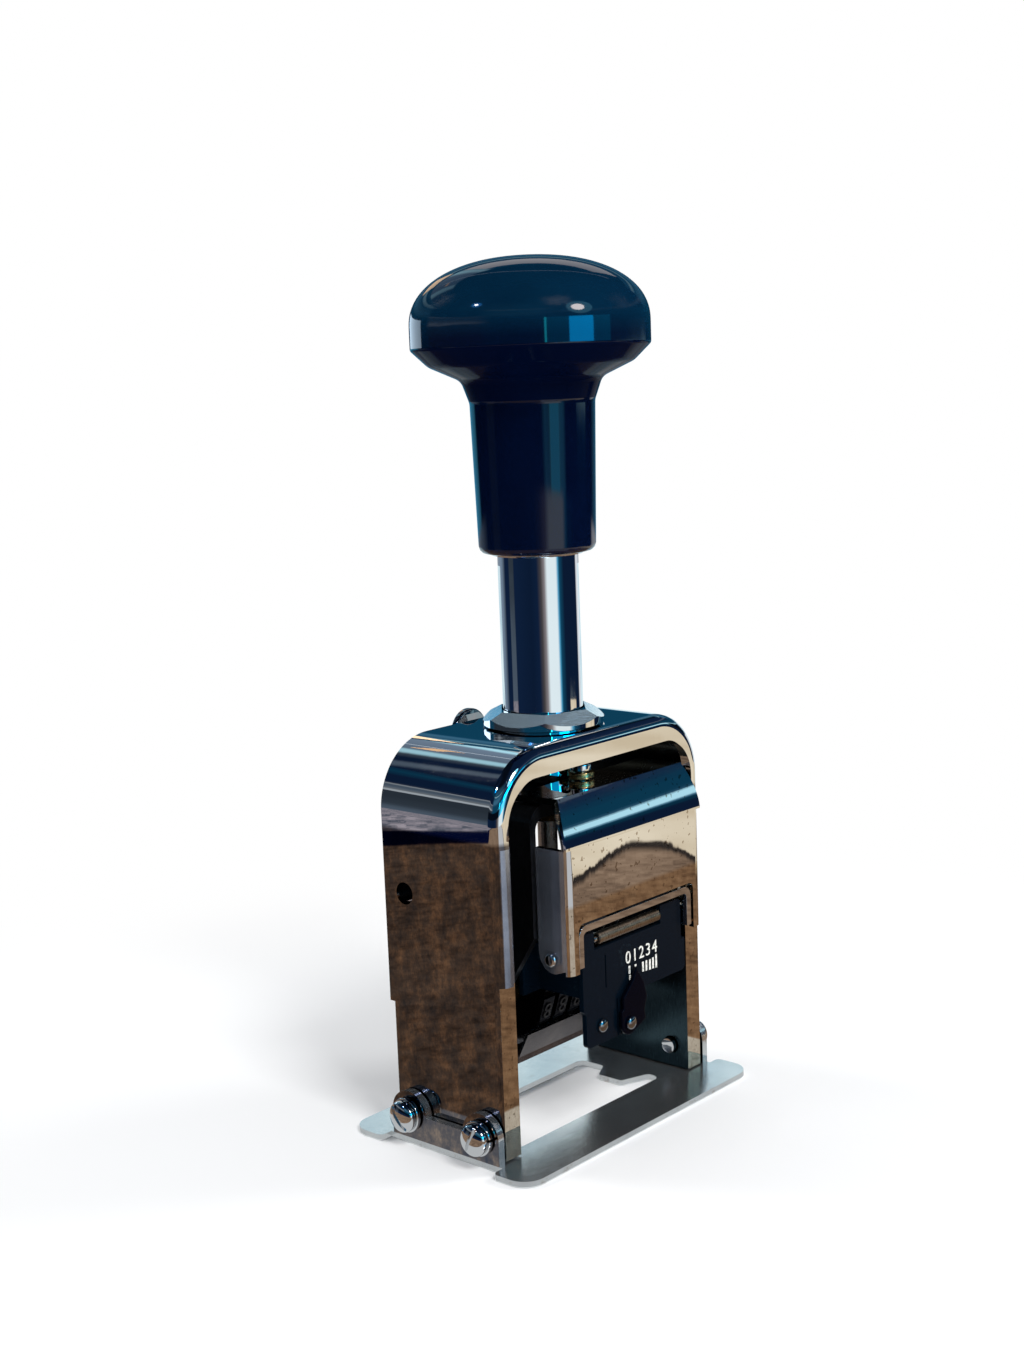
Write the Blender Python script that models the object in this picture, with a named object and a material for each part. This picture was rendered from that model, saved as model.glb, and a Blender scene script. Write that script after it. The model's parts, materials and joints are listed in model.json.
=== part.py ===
"""Self-inking numbering machine: a plunger drives a carriage of number wheels down onto the paper.

Frame: +Z up, +X to the right, the front faces -Y. The origin is the middle of the base plate's
underside, so the paper lies at z = 0. The machine stands at rest with the plunger up.
"""

import math

import bmesh
import bpy
from mathutils import Matrix, Vector

MM = 0.001
GAP = 0.3 * MM
CUT_OVERRUN = 1.0 * MM
JOIN_OVERLAP = 0.6 * MM

# Stroke and travel
STROKE = 17.5 * MM
LOCK_TRAVEL = 2.2 * MM

# Base plate
BASE_EAR_REACH = 4.5 * MM
BASE_DEPTH = 45.0 * MM
BASE_THICKNESS = 1.2 * MM
BASE_CORNER_RADIUS = 4.2 * MM
BASE_EAR_DEPTH = 8.4 * MM
BASE_EAR_CORNER_RADIUS = 1.2 * MM
WINDOW_LEFT = 23.4 * MM
WINDOW_RIGHT = 17.6 * MM
WINDOW_FRONT = 10.6 * MM
WINDOW_REAR = 8.3 * MM
WINDOW_CORNER_RADIUS = 1.6 * MM
WINDOW_NOTCH = 1.9 * MM
TONGUE_REACH = 4.2 * MM
TONGUE_REAR = 2.4 * MM
TONGUE_FRONT = 6.6 * MM
TONGUE_SLOPE = 2.2 * MM
FLANGE_THICKNESS = 1.5 * MM
FLANGE_WEB_HEIGHT = 6.0 * MM
FLANGE_HUMP_RADIUS = 4.4 * MM

# Base screws and their washers
SCREW_SPACING = 18.0 * MM
SCREW_HEIGHT = 5.9 * MM
SCREW_RADIUS = 1.5 * MM
SCREW_HEAD_RADIUS = 3.0 * MM
SCREW_HEAD_HEIGHT = 1.9 * MM
SCREW_EDGE_RADIUS = 0.5 * MM
SCREW_SLOT_WIDTH = 0.7 * MM
SCREW_SLOT_DEPTH = 0.9 * MM
SCREW_END = 1.2 * MM
WASHER_RADIUS = 3.3 * MM
WASHER_THICKNESS = 0.9 * MM

# Outer frame
FRAME_DEPTH = 26.4 * MM
FRAME_TOP = 75.8 * MM
FRAME_LEG = 4.4 * MM
FRAME_SIDE_ROOM = 4.7 * MM
FRAME_CROWN = 5.3 * MM
FRAME_OUTER_RADIUS = 12.9 * MM
FRAME_INNER_RADIUS = 6.4 * MM
LIP_PROUD = 1.2 * MM
LIP_FRONT_BOTTOM = 34.0 * MM
LIP_REAR_BOTTOM = 26.5 * MM
LIP_INNER_STEP = 1.5 * MM
FRAME_EDGE_BEVEL = 0.35 * MM
OIL_HOLE_RADIUS = 2.1 * MM
OIL_HOLE_BACK = 9.3 * MM
OIL_HOLE_HEIGHT = 48.0 * MM

# Collar that guides the plunger
COLLAR_RADIUS = 11.5 * MM
COLLAR_FLANGE = 0.9 * MM
COLLAR_RISE = 2.0 * MM
COLLAR_FLATS = 6
COLLAR_TURN_DEGREES = 12.0
COLLAR_SPIGOT_RADIUS = 9.4 * MM

# Plunger and knob
PLUNGER_RADIUS = 7.6 * MM
PLUNGER_BORE_RADIUS = 5.7 * MM
PLUNGER_TOP = 146.0 * MM
PLUNGER_CAP = 3.0 * MM
PLUNGER_STEM_RADIUS = 5.0 * MM
PLUNGER_STEM_BORE_RADIUS = 2.3 * MM
KNOB_BOTTOM = 109.3 * MM
KNOB_TOP = 162.8 * MM
KNOB_RADIUS = 22.2 * MM
KNOB_BAND_TOP = 152.8 * MM
KNOB_BAND_BOTTOM = 148.3 * MM
KNOB_ROUND_RADIUS = 4.8 * MM
KNOB_COVE_RADIUS = 6.0 * MM
KNOB_UNDERSIDE_DEGREES = 60.0
KNOB_STEM_TOP_RADIUS = 11.9 * MM
KNOB_STEM_BOTTOM_RADIUS = 11.0 * MM
KNOB_NECK = 136.3 * MM
KNOB_EDGE_RADIUS = 1.3 * MM
FERRULE_RADIUS = 8.9 * MM
FERRULE_HEIGHT = 1.0 * MM

# Carriage frame, which carries the wheels
CARRIAGE_PLATE = 1.5 * MM
CARRIAGE_ROOM = 5.3 * MM
CARRIAGE_WEB = 2.4 * MM
CARRIAGE_FRONT = 14.0 * MM
CARRIAGE_REAR = 11.6 * MM
CARRIAGE_CORNER_RADIUS = 3.6 * MM
CARRIAGE_FOOT_RADIUS = 6.6 * MM
CARRIAGE_SLOT_MARGIN = 1.2 * MM
PLUNGER_NUT_RADIUS = 8.4 * MM
PLUNGER_NUT_HEIGHT = 3.0 * MM
PLUNGER_WASHER_RADIUS = 8.6 * MM
PLUNGER_WASHER_THICKNESS = 0.8 * MM

# Return spring, its rod and the bar that holds the rod to the outer frame
CROSS_BAR_HEIGHT = 38.1 * MM
CROSS_BAR_RADIUS = 1.7 * MM
CROSS_BAR_SEAT = 1.8 * MM
SPRING_ROD_RADIUS = 1.9 * MM
SPRING_SEAT_ROOM = 8.1 * MM
SPRING_SEAT_RADIUS = 5.2 * MM
SPRING_SEAT_THICKNESS = 1.4 * MM
SPRING_WIRE_RADIUS = 0.6 * MM
SPRING_MEAN_RADIUS = 4.2 * MM
SPRING_TURNS = 15
SPRING_POINTS_PER_TURN = 9

# Number wheels
WHEEL_COUNT = 6
DIGITS_PER_WHEEL = 10
WHEEL_RADIUS = 9.2 * MM
WHEEL_RIM = 3.1 * MM
WHEEL_GROOVE_WIDTH = 0.7 * MM
WHEEL_GROOVE_DEPTH = 0.6 * MM
RATCHET_WIDTH = 1.0 * MM
RATCHET_RADIUS = 7.4 * MM
RATCHET_TOOTH = 1.3 * MM
AXLE_RADIUS = 2.2 * MM
AXLE_HEAD_RADIUS = 3.4 * MM
AXLE_HEAD_THICKNESS = 1.0 * MM
SPACER_RADIUS = 3.2 * MM

# Ink pad and its holder, with the finger tab at its front
PAD_THICKNESS = 1.7 * MM
PAD_HALF_DEPTH = 4.4 * MM
TRAY_HALF_DEPTH = 5.6 * MM
TRAY_WALL = 0.8 * MM
TRAY_WALL_RISE = 2.6 * MM
HOLDER_SIDE_ROOM = 2.3 * MM
SPACER_LENGTH = 2.1 * MM
HOLDER_ARM = 1.3 * MM
HOLDER_ARM_HALF_DEPTH = 3.9 * MM
HOLDER_HUB_RADIUS = 4.2 * MM
APRON_FRONT = 8.1 * MM
APRON_TOP = 20.4 * MM
APRON_SHEET = 0.5 * MM

# Pawl that feeds the wheels, and the comb that holds them
PAWL_SHAFT_RADIUS = 1.5 * MM
PAWL_SHAFT_BACK = 8.6 * MM
PAWL_SHAFT_HEIGHT = 41.6 * MM
PAWL_HUB_RADIUS = 2.7 * MM
PAWL_FINGER_THICKNESS = 1.6 * MM
PAWL_TIP_DEGREES = 36.0
PAWL_TIP_CLEARANCE = 0.4 * MM
DETENT_THICKNESS = 0.9 * MM
DETENT_BAR_DEPTH = 4.2 * MM
DETENT_BACK = 5.4 * MM
DETENT_HEIGHT = 39.4 * MM
DETENT_TIP_DEGREES = 128.0
SHAFT_HEAD_RADIUS = 2.4 * MM
SHAFT_HEAD_THICKNESS = 0.9 * MM

# Front cover
HOOD_FACE = 21.5 * MM
HOOD_SHEET = 1.1 * MM
HOOD_HALF_WIDTH = 20.1 * MM
HOOD_CREST_HALF_WIDTH = 18.3 * MM
HOOD_CREST_Y = 18.4 * MM
HOOD_CREST_Z = 66.9 * MM
HOOD_SHOULDER_Z = 58.0 * MM
HOOD_BOTTOM = 34.9 * MM
HOOD_CHEEK_BACK = 14.3 * MM
HOOD_CUT_HALF_WIDTH = 17.3 * MM
HOOD_CUT_TOP = 44.0 * MM
HOOD_CUT_CORNER = 1.4 * MM
HOOD_SWEEP_SHARE = 1.6
HOOD_FOLD_RADIUS = 1.8 * MM
COVER_SCREW_X = -2.2 * MM
COVER_SCREW_Y = 10.6 * MM
COVER_SCREW_RADIUS = 2.0 * MM
COVER_SCREW_HEIGHT = 1.5 * MM
COVER_WASHER_RADIUS = 2.5 * MM
COVER_WASHER_THICKNESS = 1.3 * MM
COVER_SHANK_RADIUS = 1.1 * MM

# Bail across the cover's cut-out, and its two pivots
BAIL_PIVOT_Y = 17.4 * MM
BAIL_PIVOT_Z = 37.6 * MM
BAIL_PIVOT_RADIUS = 0.8 * MM
BAIL_HEAD_RADIUS = 1.25 * MM
BAIL_HEAD_HEIGHT = 0.6 * MM
BAIL_HALF_WIDTH = 16.9 * MM
BAIL_STRIP = 1.3 * MM
BAIL_SHEET = 1.0 * MM
BAIL_TOP = 43.4 * MM
BAIL_CORNER_RADIUS = 2.2 * MM
BAIL_EYE_RADIUS = 2.0 * MM
BAIL_EYE_FLAT = 0.1 * MM

# Setting plate, its pointer and its roller
PLATE_FACE = 19.9 * MM
PLATE_SHEET = 1.0 * MM
PLATE_LEFT = 14.7 * MM
PLATE_RIGHT = 16.3 * MM
PLATE_RIGHT_TOP = 15.2 * MM
# The plate widens only below the path of the bail's front corners.
BAIL_REACH = math.hypot(HOOD_FACE - GAP - BAIL_PIVOT_Y, BAIL_EYE_RADIUS)
PLATE_STEP_HEIGHT = BAIL_PIVOT_Z - BAIL_REACH - GAP
PLATE_TOP = 41.0 * MM
PLATE_NOTCH_FLOOR = 37.5 * MM
PLATE_NOTCH_LEFT = 11.2 * MM
PLATE_NOTCH_RIGHT = 8.8 * MM
PLATE_RIGHT_BOTTOM = 26.6 * MM
TAB_LEFT = 14.0 * MM
TAB_RIGHT = 1.6 * MM
TAB_BOTTOM = 19.3 * MM
TAB_SLIT_X = 4.9 * MM
TAB_SLIT_WIDTH = 0.5 * MM
STAY_BOTTOM = 29.0 * MM
STAY_TOP = 38.0 * MM
STAY_SHEET = 0.9 * MM
STAY_BACK = 8.5 * MM
ROLLER_RADIUS = 1.15 * MM
ROLLER_HEIGHT = 39.3 * MM
ROLLER_PIN_RADIUS = 0.55 * MM
ROLLER_LEFT_END = 1.0 * MM
POINTER_PIVOT_X = -2.6 * MM
POINTER_PIVOT_Z = 21.4 * MM
POINTER_TIP_RISE = 10.1 * MM
POINTER_SHEET = 0.8 * MM
POINTER_HEEL_RADIUS = 2.3 * MM
POINTER_HEEL_END_DEGREES = 300.0
# Its outline above the heel as (across, up) shares of the tip's rise, from lower right over the tip to the left
POINTER_SHARES = (
    (0.337, -0.119), (0.475, -0.050), (0.446, 0.139), (0.530, 0.376), (0.446, 0.663), (0.238, 1.0),
    (0.125, 0.782), (-0.168, 0.505), (-0.158, 0.297),
)
POINTER_STEP_SHARE = 0.257
RIVET_RADIUS = 0.8 * MM
RIVET_HEAD_RADIUS = 1.3 * MM
RIVET_HEAD_HEIGHT = 0.6 * MM
TAB_RIVET_X = -9.6 * MM
TAB_RIVET_Z = 22.7 * MM

# Lock button at the back
LOCK_X = -2.0 * MM
LOCK_DROP = 2.9 * MM
LOCK_PIN_RADIUS = 1.2 * MM
LOCK_HEAD_RADIUS = 4.5 * MM
LOCK_HEAD_THICKNESS = 1.6 * MM
LOCK_TIP_CLEARANCE = 0.6 * MM

ROUND_STEPS = 40
SMALL_ROUND_STEPS = 20
ARC_STEPS = 6
SHARP_DEGREES = 35.0
BEVEL_DEGREES = 60.0
MERGE_DISTANCE = 0.0001 * MM

AXLE_HEIGHT = STROKE + WHEEL_RADIUS
WHEEL_PITCH = WHEEL_RIM + RATCHET_WIDTH + GAP
PACK_HALF_WIDTH = WHEEL_PITCH * WHEEL_COUNT / 2
HOLDER_HALF_WIDTH = PACK_HALF_WIDTH + SPACER_LENGTH + 2 * GAP + HOLDER_ARM
CARRIAGE_INNER_HALF = HOLDER_HALF_WIDTH + HOLDER_SIDE_ROOM
CARRIAGE_WIDTH = 2 * (CARRIAGE_INNER_HALF + CARRIAGE_PLATE)
QUARTER_DEGREES = 90.0
FRAME_WIDTH = CARRIAGE_WIDTH + 2 * (FRAME_SIDE_ROOM + FRAME_LEG)
LOCK_HEIGHT = FRAME_TOP - LOCK_DROP
BASE_WIDTH = FRAME_WIDTH + 2 * BASE_EAR_REACH
CARRIAGE_TOP = FRAME_TOP - FRAME_CROWN - CARRIAGE_ROOM
PLUNGER_FLOOR = CARRIAGE_TOP + GAP + PLUNGER_CAP
SPRING_SEAT_HEIGHT = PLUNGER_FLOOR + SPRING_SEAT_ROOM + SPRING_SEAT_THICKNESS
PLATE_BACK = PLATE_FACE - PLATE_SHEET
FRAME_INNER_HALF = FRAME_WIDTH / 2 - FRAME_LEG
FLANGE_INNER = FRAME_WIDTH / 2 + GAP
FLANGE_OUTER = FLANGE_INNER + FLANGE_THICKNESS

PALETTE = {
    "chrome": ((0.78, 0.78, 0.77), 0.08, 1.0),
    "satin_steel": ((0.60, 0.60, 0.58), 0.32, 1.0),
    "dark_steel": ((0.10, 0.10, 0.11), 0.38, 0.9),
    "black_paint": ((0.012, 0.016, 0.022), 0.34, 0.0),
    "knob_plastic": ((0.006, 0.009, 0.018), 0.08, 0.0),
    "brass": ((0.72, 0.52, 0.22), 0.25, 1.0),
    "type_metal": ((0.42, 0.38, 0.33), 0.35, 1.0),
    "felt": ((0.015, 0.015, 0.03), 0.95, 0.0),
    "spring_steel": ((0.45, 0.44, 0.42), 0.3, 1.0),
}


def clear_scene():
    for old in list(bpy.data.objects):
        bpy.data.objects.remove(old, do_unlink=True)


def material(name):
    """The Principled material of that palette entry, made once."""
    found = bpy.data.materials.get(name)
    if found:
        return found
    colour, roughness, metallic = PALETTE[name]
    made = bpy.data.materials.new(name)
    made.use_nodes = True
    shader = made.node_tree.nodes["Principled BSDF"]
    shader.inputs["Base Color"].default_value = (*colour, 1.0)
    shader.inputs["Roughness"].default_value = roughness
    shader.inputs["Metallic"].default_value = metallic
    return made


def link_mesh(name, mesh, finish, origin=(0, 0, 0)):
    made = bpy.data.objects.new(name, mesh)
    bpy.context.scene.collection.objects.link(made)
    made.location = origin
    if finish and not mesh.materials:
        mesh.materials.append(material(finish))
    return made


def finish_mesh(name, bm, finish, origin=(0, 0, 0), smooth=False):
    """Closes a bmesh drawn in world places and sets its object's origin."""
    bmesh.ops.remove_doubles(bm, verts=bm.verts, dist=MERGE_DISTANCE)
    bmesh.ops.recalc_face_normals(bm, faces=bm.faces)
    bmesh.ops.translate(bm, verts=bm.verts, vec=-Vector(origin))
    mesh = bpy.data.meshes.new(name)
    bm.to_mesh(mesh)
    bm.free()
    if smooth:
        mesh.shade_smooth()
        mesh.set_sharp_from_angle(angle=math.radians(SHARP_DEGREES))
    return link_mesh(name, mesh, finish, origin)


def arc(centre, radius, start, end, steps=ARC_STEPS):
    """Points on an arc from start to end, in degrees."""
    turn = [math.radians(start + (end - start) * k / steps) for k in range(steps + 1)]
    return [(centre[0] + radius * math.cos(a), centre[1] + radius * math.sin(a)) for a in turn]


def rounded(corners, steps=ARC_STEPS):
    """An outline whose corners (x, y, radius) are rounded by arcs."""
    points = []
    for index, (x, y, radius) in enumerate(corners):
        here = Vector((x, y))
        if not radius:
            points.append((x, y))
            continue
        back = (Vector(corners[index - 1][:2]) - here).normalized()
        ahead = (Vector(corners[(index + 1) % len(corners)][:2]) - here).normalized()
        half = back.angle(ahead) / 2
        reach = radius / math.tan(half)
        centre = here + (back + ahead).normalized() * radius / math.sin(half)
        first = here + back * reach - centre
        sweep = first.angle_signed(here + ahead * reach - centre)
        for k in range(steps + 1):
            spoke = first.copy()
            spoke.rotate(Matrix.Rotation(-sweep * k / steps, 2))
            points.append(tuple(centre + spoke))
    return points


AXES = {
    "X": lambda a, b, along: (along, a, b),
    "Y": lambda a, b, along: (a, along, b),
    "Z": lambda a, b, along: (a, b, along),
}


def prism(outline, axis, start, end):
    """A bmesh of an outline pushed along an axis. On X the outline is (y, z), on Y it is (x, z)."""
    bm = bmesh.new()
    place = AXES[axis]
    face = bm.faces.new([bm.verts.new(place(a, b, start)) for a, b in outline])
    shift = Vector(place(0, 0, end)) - Vector(place(0, 0, start))
    grown = bmesh.ops.extrude_face_region(bm, geom=[face])
    verts = [item for item in grown["geom"] if isinstance(item, bmesh.types.BMVert)]
    bmesh.ops.translate(bm, verts=verts, vec=shift)
    return bm


def block(low, high):
    outline = [(low[0], low[1]), (high[0], low[1]), (high[0], high[1]), (low[0], high[1])]
    return prism(outline, "Z", low[2], high[2])


def turned(profile, axis="Z", centre=(0, 0, 0), steps=ROUND_STEPS):
    """A bmesh of a profile of (radius, along) turned about an axis through the centre."""
    bm = bmesh.new()
    verts = [bm.verts.new((radius, 0, along)) for radius, along in profile]
    count = len(verts)
    edges = []
    for k in range(count):
        pair = (verts[k], verts[(k + 1) % count])
        if not pair[0].co.x and not pair[1].co.x:
            continue
        edges.append(bm.edges.new(pair))
    bmesh.ops.spin(
        bm, geom=verts + edges, cent=(0, 0, 0), axis=(0, 0, 1),
        angle=math.tau, steps=steps, use_merge=True,
    )
    bmesh.ops.remove_doubles(bm, verts=bm.verts, dist=MERGE_DISTANCE)
    if axis == "X":
        bmesh.ops.rotate(bm, verts=bm.verts, matrix=Matrix.Rotation(math.pi / 2, 3, "Y"))
    if axis == "Y":
        bmesh.ops.rotate(bm, verts=bm.verts, matrix=Matrix.Rotation(-math.pi / 2, 3, "X"))
    bmesh.ops.translate(bm, verts=bm.verts, vec=centre)
    return bm


def rod(radius, start, end, axis="Z", centre=(0, 0, 0), steps=SMALL_ROUND_STEPS):
    return turned([(0, end), (radius, end), (radius, start), (0, start)], axis, centre, steps)


def ring(outer, inner, start, end, axis="Z", centre=(0, 0, 0), steps=SMALL_ROUND_STEPS):
    profile = [(outer, end), (outer, start), (inner, start), (inner, end)]
    return turned(profile, axis, centre, steps)


def helper(name, bm):
    """A hidden mesh that a Boolean uses."""
    made = finish_mesh(name, bm, None)
    made.hide_render = True
    made.display_type = "WIRE"
    return made


def combine(target, bm, operation):
    tool = helper(target.name + "_tool", bm)
    tool.location = (0, 0, 0)
    step = target.modifiers.new(operation.lower(), "BOOLEAN")
    step.operation = operation
    step.object = tool
    step.solver = "EXACT"


def cut(target, *tools):
    for bm in tools:
        combine(target, bm, "DIFFERENCE")


def join(target, *tools):
    for bm in tools:
        combine(target, bm, "UNION")


def bevel(target, width):
    step = target.modifiers.new("edge", "BEVEL")
    step.width = width
    step.segments = 1
    step.limit_method = "ANGLE"
    step.angle_limit = math.radians(BEVEL_DEGREES)


def ride_on(empty, pieces):
    """Parents pieces to an empty on a joint's axis and leaves them in place."""
    for piece in pieces:
        piece.parent = empty
        piece.matrix_parent_inverse = Matrix.Translation(empty.location).inverted()


def empty_at(name, place):
    made = bpy.data.objects.new(name, None)
    bpy.context.scene.collection.objects.link(made)
    made.location = place
    return made


def base_outline():
    """The base plate's edge: four rounded ears, drawn in between them to the flanges' faces."""
    x, y = BASE_WIDTH / 2, BASE_DEPTH / 2
    waist, ear, corner = FLANGE_OUTER, BASE_DEPTH / 2 - BASE_EAR_DEPTH, BASE_EAR_CORNER_RADIUS
    half = [
        (x, -y, BASE_CORNER_RADIUS), (x, -ear, corner), (waist, -ear, 0),
        (waist, ear, 0), (x, ear, corner), (x, y, BASE_CORNER_RADIUS),
    ]
    return rounded(half + [(-a, -b, r) for a, b, r in half])


def window_outline():
    """The opening under the wheels, with the tongue that stands into it from the right."""
    tip = WINDOW_RIGHT - TONGUE_REACH
    radius = WINDOW_CORNER_RADIUS
    return rounded([
        (-WINDOW_LEFT, -WINDOW_FRONT, radius),
        (WINDOW_RIGHT + WINDOW_NOTCH, -WINDOW_FRONT, radius),
        (WINDOW_RIGHT + WINDOW_NOTCH, -TONGUE_FRONT - TONGUE_SLOPE / 2, radius / 2),
        (tip, -TONGUE_FRONT + TONGUE_SLOPE / 2, radius / 2),
        (tip, TONGUE_REAR - TONGUE_SLOPE, radius / 2),
        (WINDOW_RIGHT, TONGUE_REAR, radius / 2),
        (WINDOW_RIGHT, WINDOW_REAR, radius),
        (-WINDOW_LEFT, WINDOW_REAR, radius),
    ], steps=3)


def flange_outline():
    """One upturned flange seen from the side: two humps about the screws, and a web between."""
    back, front = SCREW_SPACING / 2, -SCREW_SPACING / 2
    radius, web = FLANGE_HUMP_RADIUS, FLANGE_WEB_HEIGHT
    dip = math.degrees(math.asin((web - SCREW_HEIGHT) / radius))
    end = SCREW_SPACING / 2 + radius
    points = [(end, BASE_THICKNESS / 2)]
    half_turn = 2 * QUARTER_DEGREES
    points += arc((back, SCREW_HEIGHT), radius, 0, half_turn - dip, steps=12)
    points += arc((front, SCREW_HEIGHT), radius, dip, half_turn, steps=12)
    return points + [(-end, BASE_THICKNESS / 2)]


def screw_places():
    """(name, side, y) of the four base screws."""
    return [
        (f"{end}_{hand}", side, y)
        for hand, side in (("left", -1), ("right", 1))
        for end, y in (("front", -SCREW_SPACING / 2), ("rear", SCREW_SPACING / 2))
    ]


def screw_hole(radius, start, end, side, y):
    low, high = sorted((side * start, side * end))
    return rod(radius, low, high, "X", (0, y, SCREW_HEIGHT))


def make_base_plate():
    plate = finish_mesh("base_plate", prism(base_outline(), "Z", 0, BASE_THICKNESS), "satin_steel")
    cut(plate, prism(window_outline(), "Z", -CUT_OVERRUN, BASE_THICKNESS + CUT_OVERRUN))
    for side in (-1, 1):
        low, high = sorted((side * FLANGE_INNER, side * FLANGE_OUTER))
        join(plate, prism(flange_outline(), "X", low, high))
    for _, side, y in screw_places():
        start, end = FLANGE_INNER - CUT_OVERRUN, FLANGE_OUTER + CUT_OVERRUN
        cut(plate, screw_hole(SCREW_RADIUS + GAP, start, end, side, y))
    return plate


def screw_profile():
    """Half outline of a base screw from its head's face to its end, along the screw."""
    face = FLANGE_OUTER + GAP + WASHER_THICKNESS + GAP
    top = face + SCREW_HEAD_HEIGHT
    inner = SCREW_HEAD_RADIUS - SCREW_EDGE_RADIUS
    rim = arc((inner, top - SCREW_EDGE_RADIUS), SCREW_EDGE_RADIUS, 90, 0, steps=3)
    end = FRAME_INNER_HALF - SCREW_END
    return [(0, top)] + rim + [
        (SCREW_HEAD_RADIUS, face), (SCREW_RADIUS, face), (SCREW_RADIUS, end), (0, end),
    ]


def make_base_screws():
    """Cheese-head screws through the flanges and the frame's feet, each over a spring washer."""
    top = FLANGE_OUTER + GAP + WASHER_THICKNESS + GAP + SCREW_HEAD_HEIGHT
    for name, side, y in screw_places():
        profile = [(radius, side * along) for radius, along in screw_profile()]
        centre = (0, y, SCREW_HEIGHT)
        screw = finish_mesh(
            "base_screw_" + name, turned(profile, "X", centre, SMALL_ROUND_STEPS), "chrome", smooth=True
        )
        low, high = sorted((side * (top - SCREW_SLOT_DEPTH), side * (top + CUT_OVERRUN)))
        half, reach = SCREW_SLOT_WIDTH / 2, SCREW_HEAD_RADIUS + CUT_OVERRUN
        cut(screw, block(
            (low, y - half, SCREW_HEIGHT - reach), (high, y + half, SCREW_HEIGHT + reach)
        ))
        low, high = sorted((side * (FLANGE_OUTER + GAP), side * (FLANGE_OUTER + GAP + WASHER_THICKNESS)))
        finish_mesh(
            "base_washer_" + name,
            ring(WASHER_RADIUS, SCREW_RADIUS + GAP, low, high, "X", centre), "chrome", smooth=True,
        )


def arch_outline(bottom, top, half, crown_radius, inner_half, inner_top, inner_radius):
    """An inverted U seen from the front."""
    return rounded([
        (-half, bottom, 0), (-inner_half, bottom, 0),
        (-inner_half, inner_top, inner_radius), (inner_half, inner_top, inner_radius),
        (inner_half, bottom, 0), (half, bottom, 0),
        (half, top, crown_radius), (-half, top, crown_radius),
    ], steps=7)


def front_relief_outline(low):
    """What is taken off the front face below the lip and inside it, seen from the front."""
    wide, inner = FRAME_WIDTH / 2 + CUT_OVERRUN, FRAME_INNER_HALF + LIP_INNER_STEP
    top, radius = FRAME_TOP - FRAME_CROWN - GAP, FRAME_INNER_RADIUS + LIP_INNER_STEP
    bottom = LIP_FRONT_BOTTOM
    return rounded([
        (-wide, low, 0), (wide, low, 0), (wide, bottom, 0), (inner, bottom, 0), (inner, top, radius),
        (-inner, top, radius), (-inner, bottom, 0), (-wide, bottom, 0),
    ], steps=7)


def make_outer_frame():
    """The chromed arch. Its upper part stands proud at the front and back as two lips."""
    y, foot = FRAME_DEPTH / 2, BASE_THICKNESS + GAP
    lip, low = y + LIP_PROUD, foot - CUT_OVERRUN
    arch = arch_outline(
        foot, FRAME_TOP, FRAME_WIDTH / 2, FRAME_OUTER_RADIUS,
        FRAME_INNER_HALF, FRAME_TOP - FRAME_CROWN, FRAME_INNER_RADIUS,
    )
    frame = finish_mesh("outer_frame", prism(arch, "Y", -lip, lip), "chrome")
    wide = FRAME_WIDTH / 2 + CUT_OVERRUN
    cut(
        frame,
        prism(front_relief_outline(low), "Y", -lip - CUT_OVERRUN, -y),
        block((-wide, y, low), (wide, lip + CUT_OVERRUN, LIP_REAR_BOTTOM)),
    )
    bevel(frame, FRAME_EDGE_BEVEL)
    reach = FRAME_WIDTH / 2 + CUT_OVERRUN
    crown = FRAME_TOP - FRAME_CROWN
    bore = COLLAR_SPIGOT_RADIUS + GAP
    cut(frame, rod(bore, crown - CUT_OVERRUN, FRAME_TOP + CUT_OVERRUN, steps=ROUND_STEPS))
    cut(frame, rod(OIL_HOLE_RADIUS, -reach, reach, "X", (0, OIL_HOLE_BACK, OIL_HOLE_HEIGHT)))
    for side in (-1, 1):
        start, end = FRAME_INNER_HALF - CUT_OVERRUN, FRAME_INNER_HALF + CROSS_BAR_SEAT
        low, high = sorted((side * start, side * end))
        cut(frame, rod(CROSS_BAR_RADIUS + GAP, low, high, "X", (0, 0, CROSS_BAR_HEIGHT)))
    for _, side, along in screw_places():
        cut(frame, screw_hole(SCREW_RADIUS + GAP, FRAME_INNER_HALF - CUT_OVERRUN, reach, side, along))
    lock = (LOCK_X, 0, LOCK_HEIGHT)
    cut(frame, rod(LOCK_PIN_RADIUS + GAP, 0, y + LIP_PROUD + CUT_OVERRUN, "Y", lock))
    return frame


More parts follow.
